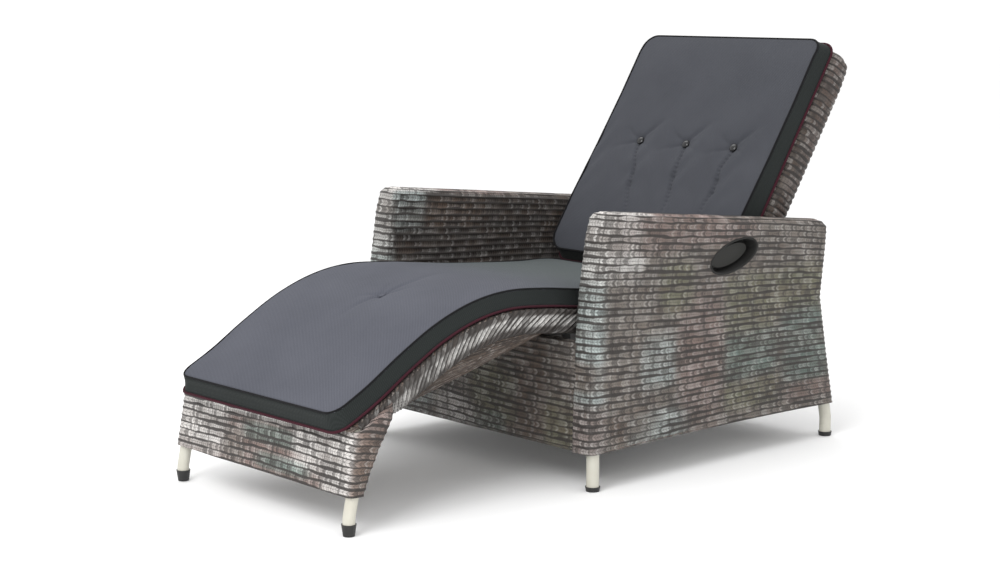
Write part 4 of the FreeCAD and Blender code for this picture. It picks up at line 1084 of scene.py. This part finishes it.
@dataclass
class Deck:
    """The woven sheet under the seat cushion and the wrapped rims at its sides."""

    front: float = -0.758
    rear: float = 0.337
    half_width: float = 0.2965
    thick: float = 0.0045
    rim_inner: float = 0.2685
    rim_outer: float = 0.3035
    rim_drop: float = 0.053
    rim_front: float = -0.738

    def sheet(self, finish: Finish) -> None:
        """A thin loop along the deck line, its strands running across."""
        steps = 240
        forth = np.linspace(self.front, self.rear, steps)
        y = np.concatenate([forth, forth[::-1]])[:, None]
        lift = np.concatenate([np.full(steps, -0.0009), np.full(steps, -self.thick)])[:, None]
        x = np.linspace(-self.half_width, self.half_width, 90)[None, :]
        grid = cap_ends(DECK.lifted(x + 0 * y, y + 0 * x, lift + 0 * x))
        brown = np.broadcast_to(np.array(Shade.BROWN.value), grid.shape)
        tone = brown * (1 + 0.4 * soft_noise(grid, 40.0, 3.0))[..., None]
        sheet = Weaver(depth=0.0008, bend=0.0).weave("woven_deck", grid, tone, wrap_rows=True, swap=True)
        dress(sheet, finish.arm, Body.BASE, "weave", "deck_weave")

    def rim(self, finish: Finish, side: int) -> None:
        """A wrapped edge: a rounded box carried along under the deck line, with slanting strands.

        Args:
            finish: the finishes.
            side: 1 for the left and -1 for the right.
        """
        steps = 310
        y = np.linspace(self.rim_front, self.rear - 0.001, steps)
        drop = np.interp(y, [-0.74, -0.68, -0.64, -0.40], [0.022, 0.030, 0.044, self.rim_drop])
        table = loop_table(16, 5, 12)
        half = (self.rim_outer - self.rim_inner) / 2
        down, out = place_loop(table, -drop, np.full(steps, -0.0004), np.full(steps, half), 0.009)
        middle = (self.rim_outer + self.rim_inner) / 2
        grid = DECK.lifted(side * (middle + out), np.broadcast_to(y[:, None], out.shape), down)
        grid = cap_ends(np.swapaxes(grid, 0, 1))
        down = cap_ends(np.swapaxes(down, 0, 1)[..., None])[..., 0]
        white = np.broadcast_to(np.array(Shade.WHITE.value), grid.shape)
        # Painted light and shade: the rim is white only across its lit middle band, which grows weaker towards the foot
        # end, and gets the dark colour above and below it where shade falls.
        lit_towards_rear = 0.45 + 0.55 * smooth_step(grid[..., 1], -0.60, -0.35)
        lit = smooth_step(-down, 0.010, 0.016) * (1 - smooth_step(-down, 0.031, 0.040)) * lit_towards_rear
        lit = lit[..., None]
        uneven = np.clip(1.0 + 0.3 * soft_noise(grid, 45.0, 5.0), 0.5, 1.3)[..., None]
        tone = (white * lit + np.array(Shade.DARK.value) * (1 - lit)) * uneven
        weaver = Weaver(row=0.0125, depth=0.0026, twist=0.75, bend=0.0)
        word = side_word(side)
        rim = weaver.weave("wrapped_rim_" + word, grid, tone, wrap_rows=True, swap=side < 0)
        dress(rim, finish.rim, Body.BASE, "weave", "deck_rim_" + word)

    def build(self, finish: Finish) -> None:
        """Make the sheet and both rims."""
        self.sheet(finish)
        self.rim(finish, 1)
        self.rim(finish, -1)


@dataclass
class Footrest:
    """The footrest's woven front with a gusset at each side, as one band folded round its corners."""

    half: float = 0.316
    corner: float = 0.016
    base: float = 0.080
    gusset: float = 0.046
    front_thick: float = 0.037

    def build(self, finish: Finish) -> None:
        """Outside and inside faces are the same path at two offsets, joined over the top and below."""
        gusset_steps, corner_steps, front_steps = 26, 7, 120
        reach = np.concatenate([
            np.linspace(1, 0, gusset_steps, endpoint=False),
            np.zeros(corner_steps * 2 + front_steps),
            np.linspace(0, 1, gusset_steps + 1)[1:],
        ])
        turn = np.linspace(0, math.pi / 2, corner_steps, endpoint=False)
        left_x = self.half - self.corner + self.corner * np.cos(turn)
        left_y = self.corner - self.corner * np.sin(turn)
        across = np.linspace(self.half - self.corner, -self.half + self.corner, front_steps)
        straight = np.full(gusset_steps, self.half)
        x = np.concatenate([straight, left_x, across, -left_x[::-1], -straight])
        y_in = np.concatenate([np.full(gusset_steps, self.corner), left_y, np.zeros(front_steps), left_y[::-1],
                               np.full(gusset_steps, self.corner)])
        share = np.linspace(0, 1, 50)[:, None]
        front_y = np.interp(share, [0, 1], [-0.774, -0.7495])
        rear_y = np.interp(share, [0, 0.32, 0.60, 0.86, 1.0], [-0.739, -0.720, -0.693, -0.656, -0.656])
        y = front_y + y_in + reach * (rear_y - front_y - self.corner)
        top, _ = DECK.at(y)
        z = self.base + share * (top - 0.0085 - self.base)
        outside = np.stack([x + 0 * y, y, z], axis=-1)
        inner_x = np.sign(x) * np.minimum(np.abs(x), self.half - self.gusset)
        inner_y = np.maximum(y, front_y + self.front_thick)
        inside = np.stack([inner_x + 0 * y, inner_y, z], axis=-1)
        end = np.minimum(np.arange(len(x)), np.arange(len(x))[::-1]) / 5.0
        round_off = (1 - np.sqrt(np.clip(1 - (1 - np.clip(end, 0, 1)) ** 2, 0, 1)))[None, :, None]
        middle = (outside + inside) / 2
        outside = outside * (1 - round_off) + middle * round_off
        inside = inside * (1 - round_off) + middle * round_off
        over = [outside[-1:] * (1 - s) + inside[-1:] * s for s in (0.2, 0.5, 0.8)]
        under = [inside[:1] * (1 - s) + outside[:1] * s for s in (0.2, 0.5, 0.8)]
        grid = np.concatenate([outside, *over, inside[::-1], *under])
        tone = 1.25 * patchwork(grid[..., 0], grid[..., 2], Shade.PINK_BROWN, [
            (-0.24, 0.15, 0.10, 0.06, Shade.WHITE), (-0.10, 0.12, 0.04, 0.03, Shade.GREY),
            (0.02, 0.155, 0.085, 0.018, Shade.TEAL), (0.08, 0.105, 0.085, 0.014, Shade.TEAL),
            (0.03, 0.13, 0.12, 0.008, Shade.PINK_BROWN), (0.16, 0.15, 0.055, 0.04, Shade.WHITE),
            (0.26, 0.14, 0.045, 0.07, Shade.WHITE), (-0.05, 0.195, 0.22, 0.012, Shade.WHITE),
            (0.315, 0.14, 0.008, 0.06, Shade.BROWN),
        ])
        tone *= mottle(grid, (0.3, 36.0, 0.4), (0.2, 100.0, 2.7))
        wall = Weaver().weave("woven_footrest", grid, tone, wrap_rows=True)
        dress(wall, finish.arm, Body.BASE, "weave", "footrest_weave")


# ------------------------------------------------------------------ back shell
@dataclass
class BackShell:
    """The woven back: loops across its section, rounded over its top."""

    half: float = 0.308
    front: float = 0.045
    rear: float = 0.035
    foot: float = 0.021
    top: float = 0.667
    crown: float = 0.026
    corner: float = 0.030

    def build(self, finish: Finish) -> None:
        """Stack the loops up the back, close them over the top and lean them."""
        side_rows = 236
        turn = np.radians(np.linspace(6, 90, 14))
        thick = (self.front + self.rear) / 2
        inset = np.concatenate([np.full(5, 0.006), np.zeros(side_rows), self.crown * (1 - np.cos(turn)),
                                np.linspace(self.crown + 0.002, thick - 0.0004, 7)])
        tall = self.top - self.foot
        rise = np.concatenate([np.linspace(0.03, 0.0, 5), np.linspace(0, tall - self.crown, side_rows),
                               tall - self.crown + self.crown * np.sin(turn), np.full(7, tall)])
        widen = np.interp(rise, [0, 0.57, 0.64, 0.66], [0, 0, 0.006, 0.014])
        table = loop_table(126, 8, 8)
        low = -self.half + inset + widen
        along, across = place_loop(table, low, -low, thick - inset, self.corner)
        middle = (self.rear - self.front) / 2
        grid = np.stack([along, middle + across, self.foot + rise[:, None] + 0 * along], axis=-1)
        x, depth, up = np.abs(grid[..., 0]), grid[..., 1], grid[..., 2]
        rear = patchwork(grid[..., 0], up, Shade.GREY, [
            (-0.15, 0.5, 0.12, 0.10, Shade.PINK_BROWN), (0.12, 0.45, 0.12, 0.12, Shade.OLIVE),
            (0.05, 0.25, 0.15, 0.08, Shade.WHITE), (-0.18, 0.2, 0.1, 0.1, Shade.TEAL),
            (0.2, 0.12, 0.1, 0.08, Shade.BROWN),
        ])
        side = 0.42 * patchwork(depth, up, Shade.BROWN, [
            (0.0, 0.60, 0.03, 0.06, Shade.PINK_BROWN), (0.0, 0.44, 0.02, 0.07, Shade.PINK_BROWN),
            (0.0, 0.25, 0.02, 0.08, Shade.PINK_BROWN),
        ])
        to_side = smooth_step(x, 0.286, 0.302)[..., None]
        tone = rear * (1 - to_side) + side * to_side
        tone *= mottle(grid, (0.3, 30.0, 1.9), (0.2, 90.0, 3.3))
        weaver = Weaver(row=0.0165, depth=0.0032, bend=0.004)
        shell = weaver.weave("woven_back", on_back(grid), tone, wrap_columns=True)
        dress(shell, finish.back, Body.BACK, "weave", "back_weave")


# ------------------------------------------------------------------ cushions
@dataclass
class Cushion:
    """A boxed cushion: crowned top panel, side band and flat underside, with a cord along each edge."""

    name: str
    node: str
    body: Body
    low: float
    high: float
    half: float
    thick: float
    crown: float
    top_inset: float = 0.011
    corner: float = 0.030
    cord: float = 0.0028
    voxel: float = 0.006
    frames: int = 18
    swell_limit: float = 0.008

    def lift(self, along: np.ndarray) -> np.ndarray:
        """Extra height of the top panel along the cushion."""
        return 0 * along

    def settle(self, along: np.ndarray, across: np.ndarray, height: np.ndarray) -> np.ndarray:
        """Points of the cushion's own frame put into the row frame."""
        raise NotImplementedError

    def read(self, points: np.ndarray) -> tuple:
        """The reverse of settle: along, across and height of points of the row frame."""
        raise NotImplementedError

    def dents(self, along: np.ndarray, across: np.ndarray) -> np.ndarray:
        """How far the sewing pulls the top panel down at each point."""
        return 0 * along

    def edge_distance(self, along: np.ndarray, across: np.ndarray) -> np.ndarray:
        """Distance in from the widest outline, a rectangle with rounded corners."""
        middle = (self.low + self.high) / 2
        over_along = np.abs(along - middle) - ((self.high - self.low) / 2 - self.corner)
        over_across = np.abs(across) - (self.half - self.corner)
        outside = np.hypot(np.maximum(over_along, 0), np.maximum(over_across, 0))
        return self.corner - outside - np.minimum(np.maximum(over_along, over_across), 0)

    def shell(self) -> bpy.types.Object:
        """Closed form in concentric loops: out along the underside, up the band and in over the crown.

        Returns:
            The form as a smooth mesh.
        """
        reach = self.half - 0.0006
        under = np.linspace(reach, 0.006, 14)
        band_rows = 9
        band = np.linspace(0, 1, band_rows)
        band_inset = self.top_inset * band + 0.0022 * np.sin(math.pi * band) + 0.001 * (1 - band)
        over = self.top_inset + (reach - self.top_inset) * np.linspace(0.012, 1, 44) ** 1.4
        inset = np.concatenate([under, band_inset, over])
        share = np.clip((over - self.top_inset) / 0.12, 0, 1)
        swell = self.crown * (1 - (1 - share) ** 2.6)
        height = np.concatenate([np.zeros(14), self.thick * (0.02 + 0.98 * band), self.thick + swell])
        table = loop_table(int((self.high - self.low) / 0.008), 6, int(self.half * 2 / 0.008))
        along, across = place_loop(table, self.low + inset, self.high - inset, self.half - inset, self.corner)
        level = height[:, None] + 0 * along
        top_share = smooth_step(level / self.thick, 0.3, 1.0)
        level = level + self.lift(along) * top_share
        points = self.settle(along, across, level)
        faces = grid_faces(points.shape[0], points.shape[1], False, True)
        form = add_mesh(self.name, points.reshape(-1, 3), faces)
        close_form(form)
        return form

    def puff(self, form: bpy.types.Object) -> None:
        """Let the top panel swell under pressure as cloth, held along its edges and at its sewing.

        Args:
            form: the closed form, already remeshed.
        """
        mesh = form.data
        rest = vertex_array(mesh)
        along, across, height = self.read(rest)
        edge = self.edge_distance(along, across) - self.top_inset
        held = (height < self.thick * 0.86 + self.lift(along)) | (edge < 0.012)
        held |= self.dents(along, across) > 0.0045
        group = form.vertex_groups.new(name="held")
        group.add([int(index) for index in np.nonzero(held)[0]], 1.0, "REPLACE")
        cloth = form.modifiers.new("pressure", "CLOTH")
        settings = cloth.settings
        settings.quality = 5
        settings.mass = 0.3
        settings.tension_stiffness = 12
        settings.compression_stiffness = 12
        settings.shear_stiffness = 4
        settings.bending_stiffness = 0.6
        settings.use_pressure = True
        settings.uniform_pressure_force = 4.0
        settings.vertex_group_mass = "held"
        settings.effector_weights.gravity = 0.0
        cloth.collision_settings.use_collision = False
        cloth.point_cache.frame_start = 1
        cloth.point_cache.frame_end = self.frames
        scene = bpy.context.scene
        for number in range(1, self.frames + 1):
            scene.frame_set(number)
        shaped = form.evaluated_get(bpy.context.evaluated_depsgraph_get())
        move = vertex_array(shaped.data) - rest
        form.modifiers.remove(cloth)
        scene.frame_set(1)
        size = np.linalg.norm(move, axis=1, keepdims=True)
        move = move * (self.swell_limit * np.tanh(size / self.swell_limit) / np.maximum(size, 1e-9))
        move_vertices(mesh, rest + move)
        log.info("%s swells by up to %.1f mm", self.name, 1000 * float(np.linalg.norm(move, axis=1).max()))

    def sculpt(self, form: bpy.types.Object) -> None:
        """Sink the sewing into the top panel, along the cushion's own upward direction."""
        mesh = form.data
        along, across, height = self.read(vertex_array(mesh))
        on_top = smooth_step(height, self.thick * 0.80, self.thick * 0.98)
        sunk = self.settle(along, across, height - self.dents(along, across) * on_top)
        move_vertices(mesh, sunk)

    def edge_path(self, inset: float, height: float, steps: int = 360) -> np.ndarray:
        """A loop along the cushion's edge.

        Args:
            inset: distance in from the widest outline.
            height: height over the underside.
            steps: count of points.

        Returns:
            Points of the loop, evenly spaced.
        """
        table = loop_table(120, 8, 60)
        low, high, half = (np.array([value]) for value in (self.low + inset, self.high - inset, self.half - inset))
        along, across = place_loop(table, low, high, half, self.corner)
        level = height + self.lift(along) * (1.0 if height > self.thick / 2 else 0.0)
        loop = self.settle(along, across, level)[0]
        closed = np.concatenate([loop, loop[:1]])
        length = steps_along(closed, 0)
        wanted = np.linspace(0, length[-1], steps, endpoint=False)
        return np.stack([np.interp(wanted, length, closed[:, k]) for k in range(3)], axis=1)

    def build(self, finish: Finish, top: bpy.types.Material) -> None:
        """Make the cushion and its two cords.

        Args:
            finish: the finishes.
            top: the top panel's cloth.
        """
        form = self.shell()
        remesh(form, self.voxel)
        self.puff(form)
        subdivide(form)
        self.sculpt(form)
        self.dress_panels(form, finish, top)
        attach(form, self.body.value)
        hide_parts(self.node)
        upper = self.edge_path(self.top_inset + 0.0018, self.thick - 0.0010)
        black = tube(self.name + "_upper_piping", upper, self.cord, True)
        dress(black, finish.black_piping, self.body, "cushion_fabric")
        maroon = tube(self.name + "_lower_piping", self.edge_path(0.0016, 0.0038), 0.0030, True)
        dress(maroon, finish.maroon_piping, self.body, "cushion_fabric")
        log.info("%s: %d vertices", form.name, len(form.data.vertices))

    def dress_panels(self, form: bpy.types.Object, finish: Finish, top: bpy.types.Material) -> None:
        """Give the top panel one cloth and the band and underside the other, parted along the upper edge."""
        mesh = form.data
        mesh.materials.clear()
        mesh.materials.append(top)
        mesh.materials.append(finish.band)
        centres, facing = np.empty(len(mesh.polygons) * 3), np.empty(len(mesh.polygons) * 3)
        mesh.polygons.foreach_get("center", centres)
        mesh.polygons.foreach_get("normal", facing)
        along, across, height = self.read(centres.reshape(-1, 3))
        probe = 0.001
        _, _, above = self.read((centres + probe * facing).reshape(-1, 3))
        edge = self.edge_distance(along, across)
        steep = ((above - height) / probe < 0.62) & (edge < self.top_inset + 0.014)
        band = (height < self.thick * 0.75 + self.lift(along)) | (edge < self.top_inset + 0.001) | steep
        mesh.polygons.foreach_set("material_index", band.astype(np.int32))
        mesh.polygons.foreach_set("use_smooth", np.ones(len(mesh.polygons), dtype=bool))
        mesh.update()


@dataclass
class SeatCushion(Cushion):
    """The long cushion from the back over the seat and down the footrest, with one tuft."""

    name: str = "seat_cushion_cover"
    node: str = "seat_cushion"
    body: Body = Body.BASE
    low: float = -0.779
    high: float = 0.334
    half: float = 0.2875
    thick: float = 0.0415
    crown: float = 0.0035
    cord: float = 0.0024
    tuft: tuple = (0.014, -0.439)
    gap: float = 0.0004

    def settle(self, along: np.ndarray, across: np.ndarray, height: np.ndarray) -> np.ndarray:
        """Along is y on the deck line, across is x, and height is over the line."""
        return DECK.lifted(across, along, height + self.gap)

    def read(self, points: np.ndarray) -> tuple:
        """The foot of each point on the deck line, by a few steps of correction along the slope."""
        y = points[:, 1].copy()
        for _ in range(6):
            z, normal = DECK.at(y)
            off = (points[:, 1] - y) * normal[:, 1] - (points[:, 2] - z) * normal[:, 0]
            y += off * normal[:, 1]
        z, normal = DECK.at(y)
        height = (points[:, 1] - y) * normal[:, 0] + (points[:, 2] - z) * normal[:, 1] - self.gap
        return y, points[:, 0], height

    def dents(self, along: np.ndarray, across: np.ndarray) -> np.ndarray:
        """A small tuft, two diagonal creases that run from it and slow waves over the panel."""
        x, y = across - self.tuft[0], along - self.tuft[1]
        distance = np.hypot(x, y)
        sink = 0.0078 * bell(distance, 0.013) + 0.0030 * bell(distance, 0.045)
        creases = (
            (1.50, 0.19, 0.0046), (4.58, 0.12, 0.0040), (0.75, 0.08, 0.0026),
            (2.35, 0.06, 0.0020), (3.75, 0.07, 0.0024), (5.5, 0.05, 0.0018),
        )
        for angle, length, depth in creases:
            run = x * math.cos(angle) + y * math.sin(angle)
            off = -x * math.sin(angle) + y * math.cos(angle) + 0.006 * np.sin(run * 34)
            fold = depth * bell(off, 0.0045 + 0.06 * np.clip(run, 0, 1)) * smooth_step(run, -0.004, 0.008)
            sink = sink + fold * (1 - smooth_step(run, 0.02, length))
        place = np.stack([across, along, 0 * along], axis=-1)
        return sink + 0.0011 * soft_noise(place, 11.0, 0.9) + 0.0005 * soft_noise(place, 37.0, 2.9)


@dataclass
class BackCushion(Cushion):
    """The back's cushion, thicker at the seat, with three buttons and creases that hang from them."""

    name: str = "back_cushion_cover"
    node: str = "back_cushion"
    body: Body = Body.BACK
    low: float = 0.011
    high: float = 0.6745
    half: float = 0.2995
    thick: float = 0.0500
    crown: float = 0.0030
    rear_face: float = 0.0458
    button_up: float = 0.350
    button_x: tuple = (-0.150, 0.005, 0.160)
    crease_lean: tuple = (0.34, 0.20, 0.03)
    corner: float = 0.036

    def lift(self, along: np.ndarray) -> np.ndarray:
        """The cushion's changing thickness, less the constant part."""
        front = np.interp(along, [0.011, 0.06, 0.175, 0.33, 0.48, 0.61, 0.66, 0.675],
                          [0.0935, 0.1035, 0.1045, 0.0980, 0.0950, 0.0965, 0.0910, 0.0800])
        return front - self.rear_face - self.thick - self.crown

    def settle(self, along: np.ndarray, across: np.ndarray, height: np.ndarray) -> np.ndarray:
        """Along is up the back, across is x, and height is forward of the cushion's rear face."""
        flat = np.stack([across + 0 * along, -(self.rear_face + height), along + 0 * across], axis=-1)
        return on_back(flat)

    def read(self, points: np.ndarray) -> tuple:
        """Points turned back upright about the hinge."""
        y, z = points[:, 1] - HINGE_Y, points[:, 2] - HINGE_Z
        up = y * math.sin(BACK_LEAN) + z * math.cos(BACK_LEAN)
        rearward = y * math.cos(BACK_LEAN) - z * math.sin(BACK_LEAN)
        return up, points[:, 0], -rearward - self.rear_face

    def dents(self, along: np.ndarray, across: np.ndarray) -> np.ndarray:
        """Pits under the buttons, puckered creases below them and swags between them."""
        sink = 0 * along
        rays = ((0.85, 0.12, 0.0036), (2.7, 0.08, 0.0022), (3.6, 0.10, 0.0026), (5.9, 0.07, 0.0020))
        for index, x in enumerate(self.button_x):
            side, down = across - x, self.button_up - along
            distance = np.hypot(side, down)
            sink = sink + 0.0105 * bell(distance, 0.012) + 0.0045 * bell(distance, 0.040)
            wander = 0.0030 * np.sin(down * 55 + index * 2.1) - self.crease_lean[index] * down
            pucker = 0.72 + 0.28 * np.sin(down * 520 + index)
            fold = bell(side + wander, 0.0040 + 0.010 * np.clip(down, 0, 1)) * pucker
            sink = sink + 0.0056 * fold * smooth_step(down, -0.002, 0.010) * (1 - 0.75 * smooth_step(down, 0.10, 0.24))
            shoulder = bell(np.abs(side + wander) - 0.011, 0.007)
            sink = sink - 0.0013 * shoulder * smooth_step(down, 0.010, 0.030) * (1 - smooth_step(down, 0.12, 0.22))
            for low in (0.098, 0.132):
                sink = sink + 0.0034 * bell(np.hypot(side + wander, down - low), 0.009)
            for angle, length, depth in rays:
                run = side * math.cos(angle) - down * math.sin(angle)
                off = -side * math.sin(angle) - down * math.cos(angle) + 1.2 * np.clip(run, 0, 1) ** 2
                ray = bell(off, 0.0035 + 0.06 * np.clip(run, 0, 1))
                sink = sink + depth * ray * smooth_step(run, 0.004, 0.014) * (1 - smooth_step(run, 0.02, length))
        place = np.stack([across, along, 0 * along], axis=-1)
        waves = np.sin((along - self.button_up) * 62 + 3.2 * np.cos(across * math.tau / 0.155))
        swag = waves * bell(along - 0.30, 0.11)
        return sink + 0.0015 * swag + 0.0013 * soft_noise(place, 10.0, 1.7) + 0.0005 * soft_noise(place, 34.0, 0.2)


def button(
    name: str, body: Body, node: str, centre: np.ndarray, axis: np.ndarray, finish: bpy.types.Material, radius: float
) -> None:
    """A domed button on a cushion: a low dome turned about its axis, closed behind.

    Args:
        name: the piece's name.
        body: the body that it rides on.
        node: the CAD node that it stands for.
        centre: centre of its rim.
        axis: direction that the dome faces.
        finish: its finish.
        radius: the rim's radius.
    """
    rings, sides = 22, 36
    angle = np.linspace(0.02, math.pi - 0.02, rings)
    reach = radius * np.sin(angle)
    rise = radius * 0.46 * np.cos(angle)
    axis = axis / np.linalg.norm(axis)
    side = np.cross(axis, [1.0, 0.0, 0.0])
    side /= np.linalg.norm(side)
    other = np.cross(axis, side)
    turn = np.linspace(0, math.tau, sides, endpoint=False)
    ring = np.cos(turn)[None, :, None] * side + np.sin(turn)[None, :, None] * other
    points = centre + ring * reach[:, None, None] + axis * rise[:, None, None]
    piece = add_mesh(name, points.reshape(-1, 3), grid_faces(rings, sides, False, True))
    close_form(piece)
    dress(piece, finish, body, "button_plastic", node)


class Upholstery:
    """Both cushions and their buttons."""

    def __init__(self) -> None:
        """Take the two cushions."""
        self.seat = SeatCushion()
        self.back = BackCushion()

    def build(self, finish: Finish) -> None:
        """Make the cushions, then set the buttons in their pits."""
        self.seat.build(finish, finish.seat)
        self.back.build(finish, finish.back_cloth)
        x, y = self.seat.tuft
        height = np.array([self.seat.thick + self.seat.crown - BUTTON_PIT])
        spot = self.seat.settle(np.array([y]), np.array([x]), height)[0]
        _, normal = DECK.at(np.array([y]))
        facing = np.array([0, normal[0, 0], normal[0, 1]])
        button("seat_tuft_button", Body.BASE, "seat_button", spot, facing, finish.seat, 0.0068)
        facing = np.array([0.0, -math.cos(BACK_LEAN), math.sin(BACK_LEAN)])
        for index, x in enumerate(self.back.button_x):
            up = np.array([self.back.button_up])
            height = self.back.thick + self.back.crown + self.back.lift(up) - BUTTON_PIT
            spot = self.back.settle(up, np.array([x]), height)[0]
            button(f"back_button_{index + 1}", Body.BACK, "back_buttons", spot, facing, finish.button, 0.0105)


# ------------------------------------------------------------------ trim and hardware
class Trim:
    """A bead along the lower edge of each arm."""

    def build(self, finish: Finish) -> None:
        """Carry each bead along its arm's edge, just inside the outer face."""
        for side in (1, -1):
            arm = Arm(side)
            y = np.linspace(-0.176, 0.634, 180)
            path = np.stack([np.full(len(y), side * (arm.outer - 0.0035)), y, arm.lower_edge(y) + 0.002], axis=1)
            bead = tube("lower_bead_" + side_word(side), path, 0.0034, False)
            dress(bead, finish.edge, Body.BASE, "weave")


class Hardware:
    """Finishes of the CAD parts that are shown as they are."""

    FINISHES = {
        "cream": ("arm_frame_left", "arm_frame_right", "deck_frame"),
        "dark_coat": ("back_frame", "front_cross_frame", "rear_cross_frame", "gas_spring_bracket"),
        "black": ("body_foot_caps", "footrest_foot_caps", "gas_spring_cylinder", "hinge_bushes"),
        "cup": ("handle_cup",),
        "paddle": ("release_paddle",),
    }

    def build(self, finish: Finish) -> None:
        """Paint each shown CAD node, with steel for the fasteners that are left.

        Args:
            finish: the finishes.
        """
        chosen = {node: name for name, nodes in self.FINISHES.items() for node in nodes}
        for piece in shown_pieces():
            if piece.name in FRAME_NODES:
                coat = getattr(finish, chosen.get(piece.name, "steel"))
                for material_slot in piece.material_slots:
                    material_slot.material = coat
                if not piece.material_slots:
                    piece.data.materials.append(coat)


# ------------------------------------------------------------------ stage
class Stage:
    """Plain pale floor, soft lights and the camera."""

    def floor(self) -> None:
        """One large flat quad just under the feet."""
        reach = 30.0
        points = np.array([[-reach, -reach, 0], [reach, -reach, 0], [reach, reach, 0], [-reach, reach, 0]]) - [0, 0, 0.0006]
        piece = add_mesh("studio_floor", points, np.array([[0, 1, 2, 3]]))
        bench = Bench("studio_paper")
        slow = bench.noise(bench.place(), 0.8, 1.0)
        paper = bench.mix(slow, (0.96, 0.96, 0.96), (0.94, 0.94, 0.94))
        bench.coat({"Base Color": paper, "Roughness": 0.9, "Specular IOR Level": 0.1})
        piece.data.materials.append(bench.material)
        piece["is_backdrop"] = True

    def light(self, name: str, place: tuple, aim: tuple, size: float, power: float) -> None:
        """A square area light aimed at a point.

        Args:
            name: the light's name.
            place: where it stands.
            aim: the point that it faces.
            size: its side in metres.
            power: its power in watts.
        """
        lamp = bpy.data.lights.new(name, "AREA")
        lamp.energy = power
        lamp.size = size
        holder = bpy.data.objects.new(name, lamp)
        holder.location = place
        holder.rotation_euler = (Vector(aim) - Vector(place)).to_track_quat("-Z", "Y").to_euler()
        bpy.context.scene.collection.objects.link(holder)
        holder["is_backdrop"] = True

    def camera(self) -> None:
        """A long lens at about eight degrees above the horizon, near the arm with the lever."""
        lens = bpy.data.cameras.new("view")
        lens.lens = 69.5
        lens.sensor_width = 36.0
        holder = bpy.data.objects.new("view", lens)
        right, up = Vector((0.6706, 0.7418, 0.0)), Vector((-0.1098, 0.0993, 0.9889))
        ahead = Vector((-0.7336, 0.6632, -0.1481))
        turn = Matrix((right, up, -ahead)).transposed().to_4x4()
        holder.matrix_world = Matrix.Translation((3.2425, -3.0253, 1.0647)) @ turn
        bpy.context.scene.collection.objects.link(holder)
        bpy.context.scene.camera = holder
        holder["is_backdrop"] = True

    def build(self) -> None:
        """Floor, world, lights, camera and a plain view transform."""
        self.floor()
        world = bpy.data.worlds.new("studio")
        world.use_nodes = True
        background = world.node_tree.nodes["Background"]
        background.inputs["Color"].default_value = (1.0, 1.0, 1.0, 1.0)
        background.inputs["Strength"].default_value = 1.08
        scene = bpy.context.scene
        scene.world = world
        self.light("key", (1.2, -3.4, 3.2), (0.0, -0.1, 0.35), 2.2, 95.0)
        self.light("fill", (3.0, -2.2, 0.8), (0.0, 0.0, 0.1), 1.8, 22.0)
        self.light("top", (-1.4, 0.6, 3.6), (0.0, 0.0, 0.4), 2.4, 35.0)
        self.camera()
        scene.view_settings.view_transform = "Standard"
        scene.view_settings.exposure = 0.0


# ------------------------------------------------------------------ assembly
FRAME_NODES = {piece.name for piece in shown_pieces()}


class Lounger:
    """The whole lounger, put together from its sub-assemblies."""

    def __init__(self) -> None:
        """Take the sub-assemblies."""
        self.finish = Finish()
        self.woven = [
            Arm(1),
            Arm(-1),
            Apron("woven_front_apron", "front_apron_weave", -0.168, 0.0815, 0.241, 0.0),
            Apron("woven_rear_apron", "rear_apron_weave", 0.6195, 0.0825, 0.229, math.radians(10.88)),
            Deck(),
            Footrest(),
            BackShell(),
        ]
        self.trim = [Trim(), Hardware()]
        self.upholstery = Upholstery()

    def build(self) -> None:
        """Build each sub-assembly."""
        for part in self.woven:
            part.build(self.finish)
        self.upholstery.build(self.finish)
        for part in self.trim:
            part.build(self.finish)


def main() -> None:
    """Build the lounger and its stage."""
    logging.basicConfig(level=logging.INFO, format="%(name)s %(message)s")
    log.info("building %s", "in full")
    Lounger().build()
    Stage().build()
    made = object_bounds()
    for axis in range(3):
        side = CAD_BOX[1][axis] - CAD_BOX[0][axis]
        low, high = CAD_BOX[0][axis] - made[0][axis], made[1][axis] - CAD_BOX[1][axis]
        log.info("axis %d: %.1f mm and %.1f mm outside, %.1f mm allowed", axis, 1000 * low, 1000 * high, 30 * side + 10)


if __name__ == "__main__":
    main()
